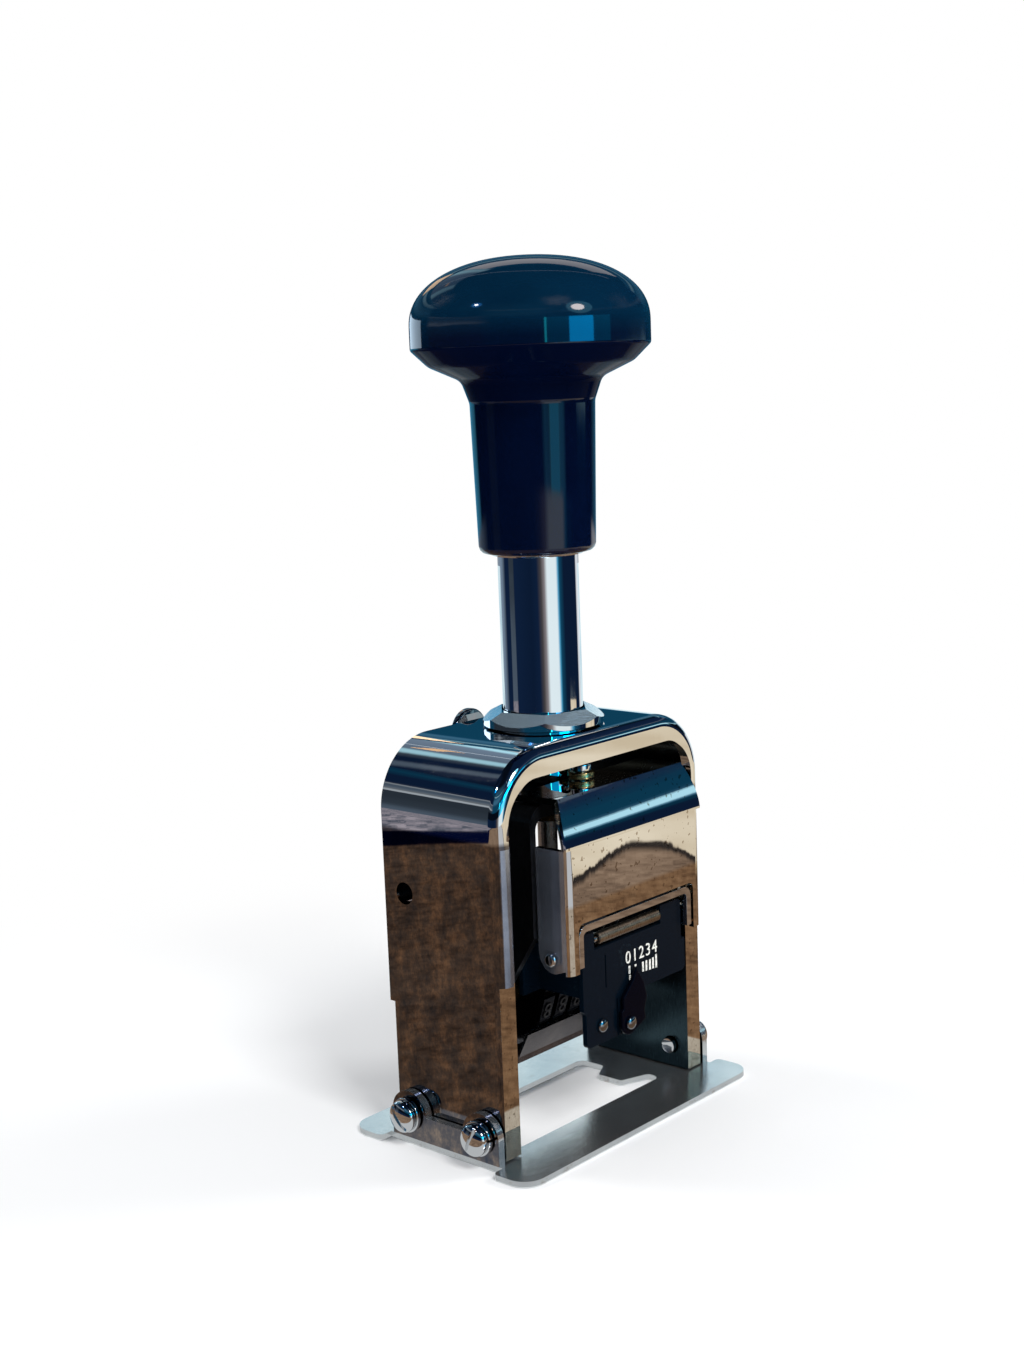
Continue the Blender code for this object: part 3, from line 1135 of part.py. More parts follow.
def make_ink_pad_holder():
    """The tray under the wheels, hung from the axle by two arms so that it can swing to the back."""
    pad_top = STROKE - GAP
    floor_top = pad_top - PAD_THICKNESS - GAP
    floor = floor_top - TRAY_WALL
    half, depth = HOLDER_HALF_WIDTH, TRAY_HALF_DEPTH
    centre = (0, 0, AXLE_HEIGHT)
    rim = floor_top + TRAY_WALL_RISE
    holder = finish_mesh(
        "ink_pad_holder", block((-half, -depth, floor), (half, depth, rim)), "satin_steel", centre
    )
    inside = half - TRAY_WALL
    deep = depth - TRAY_WALL
    cut(holder, block((-inside, -deep, floor_top), (inside, deep, rim + CUT_OVERRUN)))
    for side in (-1, 1):
        low, high = sorted((side * (half - HOLDER_ARM), side * half))
        join(holder, prism(holder_arm_outline(floor + TRAY_WALL / 2), "X", low, high))
        low, high = sorted((side * (half - JOIN_OVERLAP), side * (CARRIAGE_INNER_HALF - GAP)))
        join(holder, rod(AXLE_HEAD_RADIUS, low, high, "X", centre))
    root, low = -depth + TRAY_WALL / 2, floor + TRAY_WALL / 3
    apron = [
        (root, low), (-APRON_FRONT, APRON_TOP), (-APRON_FRONT + APRON_SHEET, APRON_TOP),
        (root, low + 2 * TRAY_WALL - APRON_SHEET / 2),
    ]
    join(holder, prism(apron, "X", -half + GAP, half - GAP))
    reach = CARRIAGE_WIDTH / 2 + CUT_OVERRUN
    cut(holder, rod(AXLE_RADIUS + GAP, -reach, reach, "X", centre))
    pad_half, pad_depth = half - HOLDER_ARM - GAP, PAD_HALF_DEPTH
    finish_mesh("ink_pad", block(
        (-pad_half, -pad_depth, floor_top + GAP), (pad_half, pad_depth, pad_top)
    ), "felt", centre)


def ratchet_gap(index):
    """Both ends of the room that a comb's finger has between two rims."""
    start = wheel_x(index) + WHEEL_RIM + GAP
    return start, start + RATCHET_WIDTH - GAP


def tip_place(degrees):
    radius = RATCHET_RADIUS + PAWL_TIP_CLEARANCE
    turn = math.radians(degrees)
    return radius * math.cos(turn), AXLE_HEIGHT + radius * math.sin(turn)


def make_feed_pawl():
    """One pawl with a finger to each wheel's ratchet."""
    shaft = (0, PAWL_SHAFT_BACK, PAWL_SHAFT_HEIGHT)
    first = ratchet_gap(0)[0] - JOIN_OVERLAP
    last = ratchet_gap(WHEEL_COUNT - 1)[1] + JOIN_OVERLAP
    pawl = finish_mesh("feed_pawl", rod(PAWL_HUB_RADIUS, first, last, "X", shaft), "dark_steel", shaft)
    tip_y, tip_z = tip_place(PAWL_TIP_DEGREES)
    wide = PAWL_FINGER_THICKNESS
    finger = [
        (tip_y, tip_z), (tip_y + wide / 2, tip_z - wide / 3),
        (PAWL_SHAFT_BACK + wide, PAWL_SHAFT_HEIGHT - wide), (PAWL_SHAFT_BACK - wide / 2, PAWL_SHAFT_HEIGHT),
    ]
    for index in range(WHEEL_COUNT):
        low, high = ratchet_gap(index)
        join(pawl, prism(finger, "X", low, high))
    cut(pawl, rod(PAWL_SHAFT_RADIUS + GAP, first - CUT_OVERRUN, last + CUT_OVERRUN, "X", shaft))
    return pawl


def make_detent_comb():
    """The spring comb that holds each wheel at its digit, fixed across the carriage."""
    reach = CARRIAGE_INNER_HALF - GAP
    back, top = -DETENT_BACK, DETENT_HEIGHT
    front = back - DETENT_BAR_DEPTH
    comb = finish_mesh(
        "detent_comb", block((-reach, front, top - DETENT_THICKNESS), (reach, back, top)), "spring_steel"
    )
    tip_y, tip_z = tip_place(DETENT_TIP_DEGREES)
    root = front + DETENT_BAR_DEPTH / 2
    wide = DETENT_THICKNESS
    finger = [
        (tip_y, tip_z), (root, top - wide / 2), (root - wide, top - wide / 2),
        (tip_y - wide, tip_z + wide / 3),
    ]
    for index in range(WHEEL_COUNT):
        low, high = ratchet_gap(index)
        join(comb, prism(finger, "X", low, high))
    return comb


def set_joint_axes():
    """Empties on the joint axes: what moves together hangs from one of them."""
    get = bpy.data.objects.get
    carriage = empty_at("carriage_axis", (0, 0, CARRIAGE_TOP))
    pad = empty_at("ink_pad_axis", (0, 0, AXLE_HEIGHT))
    bail = empty_at("bail_axis", (0, -BAIL_PIVOT_Y, BAIL_PIVOT_Z))
    ride_on(pad, [get("ink_pad_holder"), get("ink_pad")])
    ride_on(bail, [get("bail")])
    carried = [
        "plunger", "knob", "knob_ferrule", "carriage_frame", "plunger_washer", "plunger_nut",
        "front_cover", "cover_washer", "cover_screw", "bail_pivot_left", "bail_pivot_right",
        "setting_plate", "roller", "roller_pin", "pointer", "pointer_rivet", "tab_rivet",
        "wheel_axle", "wheel_axle_clip", "pawl_shaft", "pawl_shaft_clip", "feed_pawl",
        "wheel_spacer_left", "wheel_spacer_right", "detent_comb",
    ]
    carried += [f"number_wheel_{index + 1}" for index in range(WHEEL_COUNT)]
    ride_on(carriage, [get(name) for name in carried] + [pad, bail])


def main():
    clear_scene()
    make_base_plate()
    make_base_screws()
    make_outer_frame()
    make_collar()
    make_lock_button()
    make_cross_bar()
    make_spring_rod()
    make_return_spring()
    make_plunger()
    make_knob()
    make_knob_ferrule()
    make_carriage_frame()
    make_plunger_nut()
    make_hood()
    make_cover_screw()
    make_bail()
    make_bail_pivots()
    make_setting_plate()
    make_roller()
    make_pointer()
    make_number_wheels()
    make_axles()
    make_ink_pad_holder()
    make_feed_pawl()
    make_detent_comb()
    set_joint_axes()


main()
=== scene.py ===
"""Looks of the numbering machine: fine surfaces, materials, figures, studio and camera.

Shapes are given in millimetres, or in metres with unit=1. The studio's cards are in metres.
"""

import json
import math

import bmesh
import bpy
from mathutils import Matrix, Vector


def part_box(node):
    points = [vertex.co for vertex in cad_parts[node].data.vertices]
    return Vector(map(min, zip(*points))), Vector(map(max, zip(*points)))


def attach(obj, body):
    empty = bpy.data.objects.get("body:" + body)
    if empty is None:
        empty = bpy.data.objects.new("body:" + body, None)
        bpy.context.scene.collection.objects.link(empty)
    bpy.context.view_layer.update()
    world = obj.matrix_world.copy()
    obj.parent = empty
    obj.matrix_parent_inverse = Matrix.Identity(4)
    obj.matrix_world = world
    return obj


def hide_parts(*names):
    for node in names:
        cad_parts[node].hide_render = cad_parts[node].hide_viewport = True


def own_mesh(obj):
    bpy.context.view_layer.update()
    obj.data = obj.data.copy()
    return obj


MM = 0.001

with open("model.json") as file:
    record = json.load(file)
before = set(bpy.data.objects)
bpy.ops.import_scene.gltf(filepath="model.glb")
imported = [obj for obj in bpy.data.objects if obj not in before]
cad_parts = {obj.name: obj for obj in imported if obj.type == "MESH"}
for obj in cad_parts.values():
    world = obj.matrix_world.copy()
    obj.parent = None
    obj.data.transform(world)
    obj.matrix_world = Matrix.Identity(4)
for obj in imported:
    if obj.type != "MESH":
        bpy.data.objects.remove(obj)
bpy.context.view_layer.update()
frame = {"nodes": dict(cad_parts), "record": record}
NODES = frame["nodes"]
BODY_OF = {node: body for body, nodes in frame["record"]["behaviour"]["bodies"].items() for node in nodes}

# Sizes and places in millimetres that several pieces share, and a figure's share of its line's height
SIDES = (-1, 1)
WHEELS = [f"number_wheel_{k}" for k in range(1, 7)]
SCREW_ROWS = (-9, 9)
SCREW_HEIGHT = 5.9
SCREW_HOLE = 1.8
FLANGE_IN, FLANGE_OUT = 30.4, 31.9
COLLAR_BORE = 7.9
LOCK_CENTRE = (-2.0, 0, 72.9)
LOCK_BORE = 1.5
AXLE_HEIGHT = 26.7
LIP_LOW, LIP_HIGH = 34.0, 59.2
COVER_FACE = 21.5
COVER_HALF = 20.1
COVER_SHEET = 1.1
COVER_BEND, COVER_TOP = 58.0, 66.9
COVER_SCREW = (-2.2, -10.6, 0)
HINGE = (0, -17.4, 37.6)
HINGE_BORE = 1.1
PLATE_FACE, PLATE_BACK = -19.9, -18.9
POINTER_PLACE = (-2.6, 21.4)
TAB_PLACE = (-9.6, 22.7)
RIVET_BORE = 0.95
FIGURE_SHARE = 0.72


# Shapes

def mm(*values):
    return tuple(value * MM for value in values)


def arc(centre, radius, start, end, steps=12):
    turn = [math.radians(start + (end - start) * k / steps) for k in range(steps + 1)]
    return [(centre[0] + radius * math.cos(a), centre[1] + radius * math.sin(a)) for a in turn]


def rounded(corners, steps=12):
    """An outline whose corners (x, y, radius) are rounded by arcs."""
    points = []
    for index, (x, y, radius) in enumerate(corners):
        here = Vector((x, y))
        if not radius:
            points.append((x, y))
            continue
        back = (Vector(corners[index - 1][:2]) - here).normalized()
        ahead = (Vector(corners[(index + 1) % len(corners)][:2]) - here).normalized()
        half = back.angle(ahead) / 2
        reach = radius / math.tan(half)
        centre = here + (back + ahead).normalized() * radius / math.sin(half)
        first = here + back * reach - centre
        sweep = first.angle_signed(here + ahead * reach - centre)
        for k in range(steps + 1):
            spoke = first.copy()
            spoke.rotate(Matrix.Rotation(-sweep * k / steps, 2))
            points.append(tuple(centre + spoke))
    return points


def soft_edge(points, width, steps=3):
    """A turned profile with each corner off the axis rounded by a small radius."""
    return rounded([(x, y, width if x else 0) for x, y in points], steps)


def domed(radius, foot, rise, steps):
    """A domed end of a turned profile, from the axis out to its rim."""
    points = [(0, foot + rise)]
    for k in range(1, steps + 1):
        a = math.radians(90 - 90 * k / steps)
        points.append((radius * math.cos(a), foot + rise * math.sin(a)))
    return points


def span(side, near, far):
    """Two distances from the middle plane as the low and high X of one side."""
    return sorted((side * near, side * far))


PLACE = {
    "X": lambda a, b, along: (along, a, b),
    "Y": lambda a, b, along: (a, along, b),
    "Z": lambda a, b, along: (a, b, along),
}


def prism(outline, axis, start, end, unit=MM):
    bm = bmesh.new()
    place = PLACE[axis]
    start, end = start * unit, end * unit
    face = bm.faces.new([bm.verts.new(place(a * unit, b * unit, start)) for a, b in outline])
    shift = Vector(place(0, 0, end)) - Vector(place(0, 0, start))
    grown = bmesh.ops.extrude_face_region(bm, geom=[face])
    verts = [item for item in grown["geom"] if isinstance(item, bmesh.types.BMVert)]
    bmesh.ops.translate(bm, verts=verts, vec=shift)
    bmesh.ops.recalc_face_normals(bm, faces=bm.faces)
    return bm


def block(low, high, unit=MM):
    outline = [(low[0], low[1]), (high[0], low[1]), (high[0], high[1]), (low[0], high[1])]
    return prism(outline, "Z", low[2], high[2], unit)


def turned_block(low, high, degrees, axis, centre):
    """A block about the origin, turned there and then moved to its centre."""
    bm = block(low, high)
    bmesh.ops.rotate(bm, verts=bm.verts, matrix=Matrix.Rotation(math.radians(degrees), 3, axis))
    bmesh.ops.translate(bm, verts=bm.verts, vec=mm(*centre))
    return bm


def turned(profile, axis="Z", centre=(0, 0, 0), steps=128, unit=MM):
    """A profile of (radius, along) turned about an axis through the centre."""
    bm = bmesh.new()
    verts = [bm.verts.new((radius * unit, 0, along * unit)) for radius, along in profile]
    edges = []
    for k, vert in enumerate(verts):
        other = verts[(k + 1) % len(verts)]
        if vert.co.x or other.co.x:
            edges.append(bm.edges.new((vert, other)))
    bmesh.ops.spin(
        bm, geom=verts + edges, cent=(0, 0, 0), axis=(0, 0, 1),
        angle=math.tau, steps=steps, use_merge=True,
    )
    bmesh.ops.remove_doubles(bm, verts=bm.verts, dist=1e-7)
    if axis == "X":
        bmesh.ops.rotate(bm, verts=bm.verts, matrix=Matrix.Rotation(math.pi / 2, 3, "Y"))
    if axis == "Y":
        bmesh.ops.rotate(bm, verts=bm.verts, matrix=Matrix.Rotation(-math.pi / 2, 3, "X"))
    bmesh.ops.translate(bm, verts=bm.verts, vec=mm(*centre))
    bmesh.ops.recalc_face_normals(bm, faces=bm.faces)
    return bm


def rod(radius, start, end, axis="Z", centre=(0, 0, 0), steps=64):
    return turned([(0, end), (radius, end), (radius, start), (0, start)], axis, centre, steps)


def mirrored(profile, side):
    """A turned profile, pointing to one side of the machine."""
    return [(radius, side * along) for radius, along in profile]


def linked(name, data):
    made = bpy.data.objects.new(name, data)
    bpy.context.scene.collection.objects.link(made)
    return made


def new_mesh(name, bm):
    mesh = bpy.data.meshes.new(name)
    bm.to_mesh(mesh)
    bm.free()
    return mesh


def new_object(name, bm):
    return linked(name, new_mesh(name, bm))


def final_mesh(obj):
    """The object's mesh as its modifiers, or its curve, leave it."""
    bpy.context.view_layer.update()
    graph = bpy.context.evaluated_depsgraph_get()
    graph.update()
    return bpy.data.meshes.new_from_object(obj.evaluated_get(graph))


def mesh_from(curve):
    made = linked(curve.name, curve)
    mesh = final_mesh(made)
    bpy.data.objects.remove(made)
    return mesh


def settle(target):
    """Applies the modifiers to the object's own mesh."""
    mesh = final_mesh(target)
    target.modifiers.clear()
    target.data = mesh


def combine(target, bm, operation):
    """One exact Boolean, applied at once."""
    tool = new_object("tool", bm)
    step = target.modifiers.new("step", "BOOLEAN")
    step.operation = operation
    step.object = tool
    step.solver = "EXACT"
    settle(target)
    bpy.data.objects.remove(tool)


def cut(target, tool):
    combine(target, tool, "DIFFERENCE")


def join(target, tool):
    combine(target, tool, "UNION")


def edge_bevel(target, width, segments=3, degrees=40):
    step = target.modifiers.new("edge", "BEVEL")
    step.width = width * MM
    step.segments = segments
    step.limit_method = "ANGLE"
    step.angle_limit = math.radians(degrees)
    settle(target)


def shade(target, degrees):
    target.data.shade_smooth()
    target.data.set_sharp_from_angle(angle=math.radians(degrees))
    weighted = target.modifiers.new("normals", "WEIGHTED_NORMAL")
    weighted.keep_sharp = True


def stand_for(target, node, material, degrees=32):
    """Finishes a piece that takes a CAD node's place. Edges sharper than the angle stay sharp."""
    if degrees:
        shade(target, degrees)
    target.data.materials.clear()
    target.data.materials.append(material)
    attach(target, BODY_OF[node])
    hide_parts(node)


def repaint(target, materials, choose):
    """Adds materials, and sets each face's by its middle, in millimetres, and its normal."""
    for material in materials:
        target.data.materials.append(material)
    for face in target.data.polygons:
        face.material_index = int(choose(face.center / MM, face.normal))


# Materials

class Nodes:
    """Short ways to add nodes to a tree."""

    def __init__(self, tree):
        self.tree = tree

    @property
    def place(self):
        """The place on the object, in metres, from one node that is added when first asked for."""
        if "place" not in self.tree.nodes:
            self.add("ShaderNodeTexCoord").name = "place"
        return self.tree.nodes["place"].outputs["Object"]

    def add(self, kind, **inputs):
        node = self.tree.nodes.new(kind)
        for key, value in inputs.items():
            node.inputs[key].default_value = value
        return node

    def link(self, a, b):
        self.tree.links.new(a, b)

    def fill(self, sockets, values):
        """Links each socket to its value, or sets it where the value is a number or a colour."""
        for socket, value in zip(sockets, values):
            if isinstance(value, tuple):
                socket.default_value = (*value, 1)
            elif isinstance(value, (int, float)):
                socket.default_value = value
            else:
                self.link(value, socket)

    def axes(self):
        split = self.add("ShaderNodeSeparateXYZ")
        self.link(self.place, split.inputs[0])
        return split.outputs

    def math(self, operation, *values):
        node = self.add("ShaderNodeMath")
        node.operation = operation
        self.fill(node.inputs, values)
        return node.outputs[0]

    def noise(self, scale, detail=4.0, rough=0.55, stretch=(1, 1, 1)):
        mapping = self.add("ShaderNodeMapping", Scale=stretch)
        grain = self.add("ShaderNodeTexNoise", Scale=scale, Detail=detail, Roughness=rough)
        self.link(self.place, mapping.inputs["Vector"])
        self.link(mapping.outputs["Vector"], grain.inputs["Vector"])
        return grain.outputs["Fac"]

    def ramp(self, factor, stops):
        node = self.add("ShaderNodeValToRGB")
        elements = node.color_ramp.elements
        while len(elements) < len(stops):
            elements.new(0.5)
        for element, (at, colour) in zip(elements, stops):
            element.position = at
            element.color = (*colour, 1)
        self.link(factor, node.inputs["Fac"])
        return node.outputs["Color"]

    def mix(self, factor, first, second):
        node = self.add("ShaderNodeMix")
        node.data_type = "RGBA"
        self.fill((node.inputs[0], node.inputs[6], node.inputs[7]), (factor, first, second))
        return node.outputs[2]

    def levels(self, factor, low, high, to_low=0.0, to_high=1.0, kind="LINEAR"):
        node = self.add("ShaderNodeMapRange")
        node.interpolation_type = kind
        for key, value in (("From Min", low), ("From Max", high), ("To Min", to_low), ("To Max", to_high)):
            node.inputs[key].default_value = value
        self.link(factor, node.inputs["Value"])
        return node.outputs["Result"]

    def smooth(self, value, low, high):
        return self.levels(value, low, high, kind="SMOOTHSTEP")

    def blend(self, factor, first, second, out):
        """Sends a mix of two shaders to the output."""
        node = self.add("ShaderNodeMixShader")
        self.fill(node.inputs, (factor, first.outputs[0], second.outputs[0]))
        self.link(node.outputs[0], out.inputs["Surface"])


class Shader(Nodes):
    """The nodes of a solid piece's material."""

    def __init__(self, name, colour, roughness, metallic=0.0):
        self.material = bpy.data.materials.new(name)
        self.material.use_nodes = True
        super().__init__(self.material.node_tree)
        self.out = self.tree.nodes["Principled BSDF"]
        self.set("Base Color", (*colour, 1))
        self.set("Roughness", roughness)
        self.set("Metallic", metallic)

    def set(self, socket, value):
        self.out.inputs[socket].default_value = value

    def to(self, socket, value):
        self.link(value, self.out.inputs[socket])

    def height(self):
        """The height over the base plate's underside, in metres."""
        return self.axes()["Z"]

    def bump(self, factor, distance, strength=1.0):
        node = self.add("ShaderNodeBump", Strength=strength, Distance=distance)
        self.link(factor, node.inputs["Height"])
        normal = self.out.inputs["Normal"]
        if normal.links:
            self.link(normal.links[0].from_socket, node.inputs["Normal"])
        self.link(node.outputs["Normal"], normal)


def chrome(name, base=(0.80, 0.81, 0.82), painted_reflection=None, reflection_top=58.0, scratch=0.3, pits=False):
    """Chrome plate with finger smears and hairline scratches. A painted reflection colours its lower part as
    a mottled film, up to reflection_top.
    """
    made = Shader(name, base, 0.06, 1.0)
    made.to("Roughness", made.levels(made.noise(60, 5, 0.6), 0.35, 0.75, 0.006, 0.034))
    if painted_reflection:
        # Painted reflection: a mottled colour that fades out at reflection_top stands in for the table and
        # cloth that the plate reflects. The pits are real dark specks in the plate.
        cloud = made.noise(340, 8, 0.78, (1.0, 0.9, 0.6))
        colour = made.ramp(cloud, list(zip((0.34, 0.50, 0.68), painted_reflection)))
        rise = made.levels(made.height(), (reflection_top - 0.8) * MM, reflection_top * MM, 1.0, 0.0)
        colour = made.mix(rise, base, colour)
        if pits:
            pit = made.levels(made.noise(900, 2, 0.5), 0.655, 0.69, 0, 0.7)
            colour = made.mix(pit, colour, (0.26, 0.20, 0.14))
    else:
        dull = tuple(v * 0.93 for v in base)
        colour = made.ramp(made.noise(25, 3), [(0.3, dull), (0.7, base)])
    made.to("Base Color", colour)
    made.bump(made.noise(420, 2, 0.4, (1.0, 1.0, 0.06)), 0.00002, scratch)
    return made.material


def satin(name, base, dark, roughness=0.3, stretch=(1, 14, 1), grain=700, stain=None, metal=1.0):
    """Brushed or ground metal: fine lines along one way and cloudy wear."""
    made = Shader(name, base, roughness, metal)
    lines = made.noise(grain, 3, 0.6, stretch)
    colour = made.mix(made.levels(made.noise(45, 6, 0.65), 0.35, 0.7), dark, base)
    if stain:
        colour = made.mix(made.levels(made.noise(110, 8, 0.8), 0.58, 0.74, 0, 0.85), colour, stain)
    made.to("Base Color", colour)
    made.to("Roughness", made.levels(lines, 0.3, 0.7, roughness * 0.75, roughness * 1.3))
    made.bump(lines, 0.00003, 0.5)
    made.bump(made.noise(260, 5, 0.7), 0.00004, 0.35)
    return made.material


def enamel(name, base, roughness, chips, refraction):
    """Black enamel on sheet steel, with orange peel and rubbed places."""
    made = Shader(name, base, roughness)
    made.set("IOR", refraction)
    rub = made.levels(made.noise(120, 8, 0.75), 0.62, 0.80, 0, 0.7)
    made.to("Base Color", made.mix(rub, base, chips))
    made.to("Roughness", made.levels(made.noise(60, 4), 0.3, 0.7, roughness * 0.8, roughness * 1.35))
    made.bump(made.noise(900, 3, 0.5), 0.00002, 0.6)
    return made.material


def knob_plastic(name, refraction, gloss):
    """Polished black phenolic, faintly blue, with smears and a few fine scratches."""
    made = Shader(name, (0.0004, 0.003, 0.018), gloss)
    made.set("IOR", refraction)
    cloudy = made.noise(30, 4)
    # Painted sheen: the dome, above the band, is tinted lighter and bluer than the stem.
    stem = made.ramp(cloudy, [(0.3, (0.0003, 0.0018, 0.011)), (0.7, (0.0006, 0.0034, 0.018))])
    dome = made.ramp(cloudy, [(0.3, (0.0004, 0.0100, 0.028)), (0.7, (0.0010, 0.0170, 0.042))])
    made.to("Base Color", made.mix(made.levels(made.height(), 0.148, 0.152), stem, dome))
    made.to("Roughness", made.levels(made.noise(70, 6, 0.65), 0.35, 0.72, gloss * 0.7, gloss * 1.8))
    made.bump(made.noise(500, 2, 0.4, (1, 1, 0.1)), 0.000015, 0.35)
    return made.material


def felt():
    made = Shader("ink_felt", (0.012, 0.012, 0.022), 0.95)
    made.set("Sheen Weight", 0.4)
    fibre = made.noise(1600, 6, 0.8)
    made.to("Base Color", made.ramp(fibre, [(0.35, (0.006, 0.006, 0.012)), (0.7, (0.035, 0.035, 0.055))]))
    made.bump(fibre, 0.00018, 0.9)
    return made.material


def paint(name, colour, worn):
    made = Shader(name, colour, 0.5)
    made.to("Base Color", made.ramp(made.noise(1500, 5, 0.7), [(0.36, worn), (0.5, colour)]))
    made.bump(made.noise(1200, 3), 0.00001, 0.5)
    return made.material


CHROME = chrome("chrome")
DARK_CHROME = chrome("rivet_chrome", (0.36, 0.36, 0.37))
# Painted shade and dark reflection: the arch's inner faces and the crown's underside are dark teal.
INNER_PAINTED_SHADE = satin("inner_painted_shade", (0.05, 0.085, 0.10), (0.02, 0.035, 0.045), 0.22, (1, 8, 1), 500)
# Painted reflection of the wooden table on the arch's walls, from dark to brown, below 60.6 mm.
PAINTED_WOOD_REFLECTION = ((0.07, 0.085, 0.12), (0.17, 0.155, 0.16), (0.42, 0.32, 0.25))
WALL_CHROME = chrome("wall_chrome", painted_reflection=PAINTED_WOOD_REFLECTION, reflection_top=60.6)
# Painted reflection of the pale cloth and the table on the cover and the legs' front faces, below 48 mm,
# with small real pits.
PAINTED_COVER_REFLECTION = ((0.50, 0.40, 0.30), (0.66, 0.55, 0.42), (0.80, 0.70, 0.56))
COVER_CHROME = chrome("cover_chrome", painted_reflection=PAINTED_COVER_REFLECTION, reflection_top=48.0, pits=True)
BRIGHT = chrome("plunger_chrome", (0.84, 0.86, 0.88), scratch=0.35)
BASE_STEEL = satin(
    "base_steel", (0.80, 0.82, 0.82), (0.60, 0.62, 0.63), 0.16, (14, 1, 1), 500, (0.26, 0.17, 0.12), 0.95
)
# Wear and painted reflection: the cloudy patches are wear; the blue-grey tint is painted, so that the
# reflected table reads grey on the cheeks and the front lip.
STEEL_WEAR_AND_BLUE_REFLECTION = satin("steel_wear_and_blue_reflection", (0.42, 0.47, 0.57), (0.19, 0.215, 0.275), 0.15, (6, 6, 1), 400, None, 0.88)
DARK_STEEL = satin("dark_steel", (0.085, 0.09, 0.10), (0.035, 0.037, 0.045), 0.36, (1, 10, 1), 600)
SATIN_STEEL = satin("satin_steel", (0.55, 0.55, 0.54), (0.36, 0.36, 0.35), 0.3)
# Near black: inked type, darkened further as painted shade inside the machine.
INKED_TYPE_AND_SHADE = satin(
    "type_metal", (0.022, 0.021, 0.026), (0.010, 0.010, 0.013), 0.30, (1, 1, 8), 600, (0.016, 0.012, 0.012)
)
# Painted sheen: the collar's sloped flats are pale blue and partly matt, so that they read lit.
COLLAR_PAINTED_SHEEN = satin(
    "collar_painted_sheen", (0.56, 0.72, 0.82), (0.38, 0.54, 0.66), 0.09, (1, 1, 6), 500, None, 0.76
)
ROLLER_STEEL = satin("roller_steel", (0.44, 0.36, 0.28), (0.22, 0.17, 0.12), 0.3, (6, 1, 1), 500)
# Painted reflection: the brownish tint stands in for the wooden table seen in the holder's polished front.
PAD_STEEL_PAINTED_WOOD = satin("pad_steel_painted_wood", (0.22, 0.185, 0.17), (0.08, 0.07, 0.075), 0.2)
SPRING_STEEL = satin("spring_steel", (0.5, 0.49, 0.46), (0.3, 0.29, 0.27), 0.28)
BRASS = satin("brass", (0.78, 0.57, 0.25), (0.5, 0.34, 0.13), 0.22, (1, 6, 1), 500)
BLACK = enamel("black_enamel", (0.0014, 0.0048, 0.0100), 0.18, (0.02, 0.04, 0.050), 1.2)
POINTER_BLACK = enamel("pointer_enamel", (0.0008, 0.0012, 0.004), 0.10, (0.02, 0.02, 0.028), 1.14)
KNOB = knob_plastic("knob_plastic", 1.5, 0.05)
KNOB_SHADE = knob_plastic("knob_shade", 1.06, 0.08)
FELT = felt()
WHITE = paint("white_figures", (0.86, 0.86, 0.80), (0.30, 0.30, 0.28))
INK = paint("inked_figures", (0.006, 0.006, 0.010), (0.03, 0.028, 0.026))


# Knob, plunger and collar

def make_knob():
    """A full dome on a short upright band, a soft crease, a hollow neck and a tapered stem."""
    power, foot, rise, half, steps = 2.2, 150.4, 12.4, 22.2, 40
    dome = [(0, foot + rise)]
    for k in range(1, steps):
        a = math.radians(90 * k / steps)
        dome.append((half * math.sin(a) ** (2 / power), foot + rise * math.cos(a) ** (2 / power)))
    under = rounded([
        (half, foot - 0.3, 0), (half, 146.3, 0.9), (19.0, 143.2, 4.0), (13.1, 140.5, 2.4),
        (11.65, 136.4, 3.0), (11.0, 110.0, 0),
    ], 8)
    skirt = [(10.8, 109.3), (10.3, 108.8), (9.6, 108.6), (9.3, 108.6), (9.3, 109.3)]
    hollow = [(7.9, 109.3), (7.9, 146.3), (0, 146.3)]
    made = new_object("knob_body", turned(dome + [(half, foot)] + under + skirt + hollow, steps=192))
    stand_for(made, "knob", KNOB, 50)
    repaint(made, [KNOB_SHADE], lambda middle, normal: normal.z < -0.3 and middle.z > 136)


def make_plunger():
    tube = [
        (0, 146), (7.3, 146), (7.6, 145.7), (7.6, 66.0), (7.3, 65.5), (5.0, 65.5), (5.0, 57.9), (4.8, 57.7),
        (2.3, 57.7), (2.3, 68.5), (5.7, 68.5), (5.7, 143), (0, 143),
    ]
    stand_for(new_object("plunger_tube", turned(tube, steps=192)), "plunger", BRIGHT)
    ring = [(7.9, 108.9), (8.7, 108.9), (8.8, 108.7), (8.7, 108.4), (8.5, 108.2), (7.9, 108.1)]
    stand_for(new_object("ferrule_ring", turned(ring)), "knob_ferrule", CHROME)


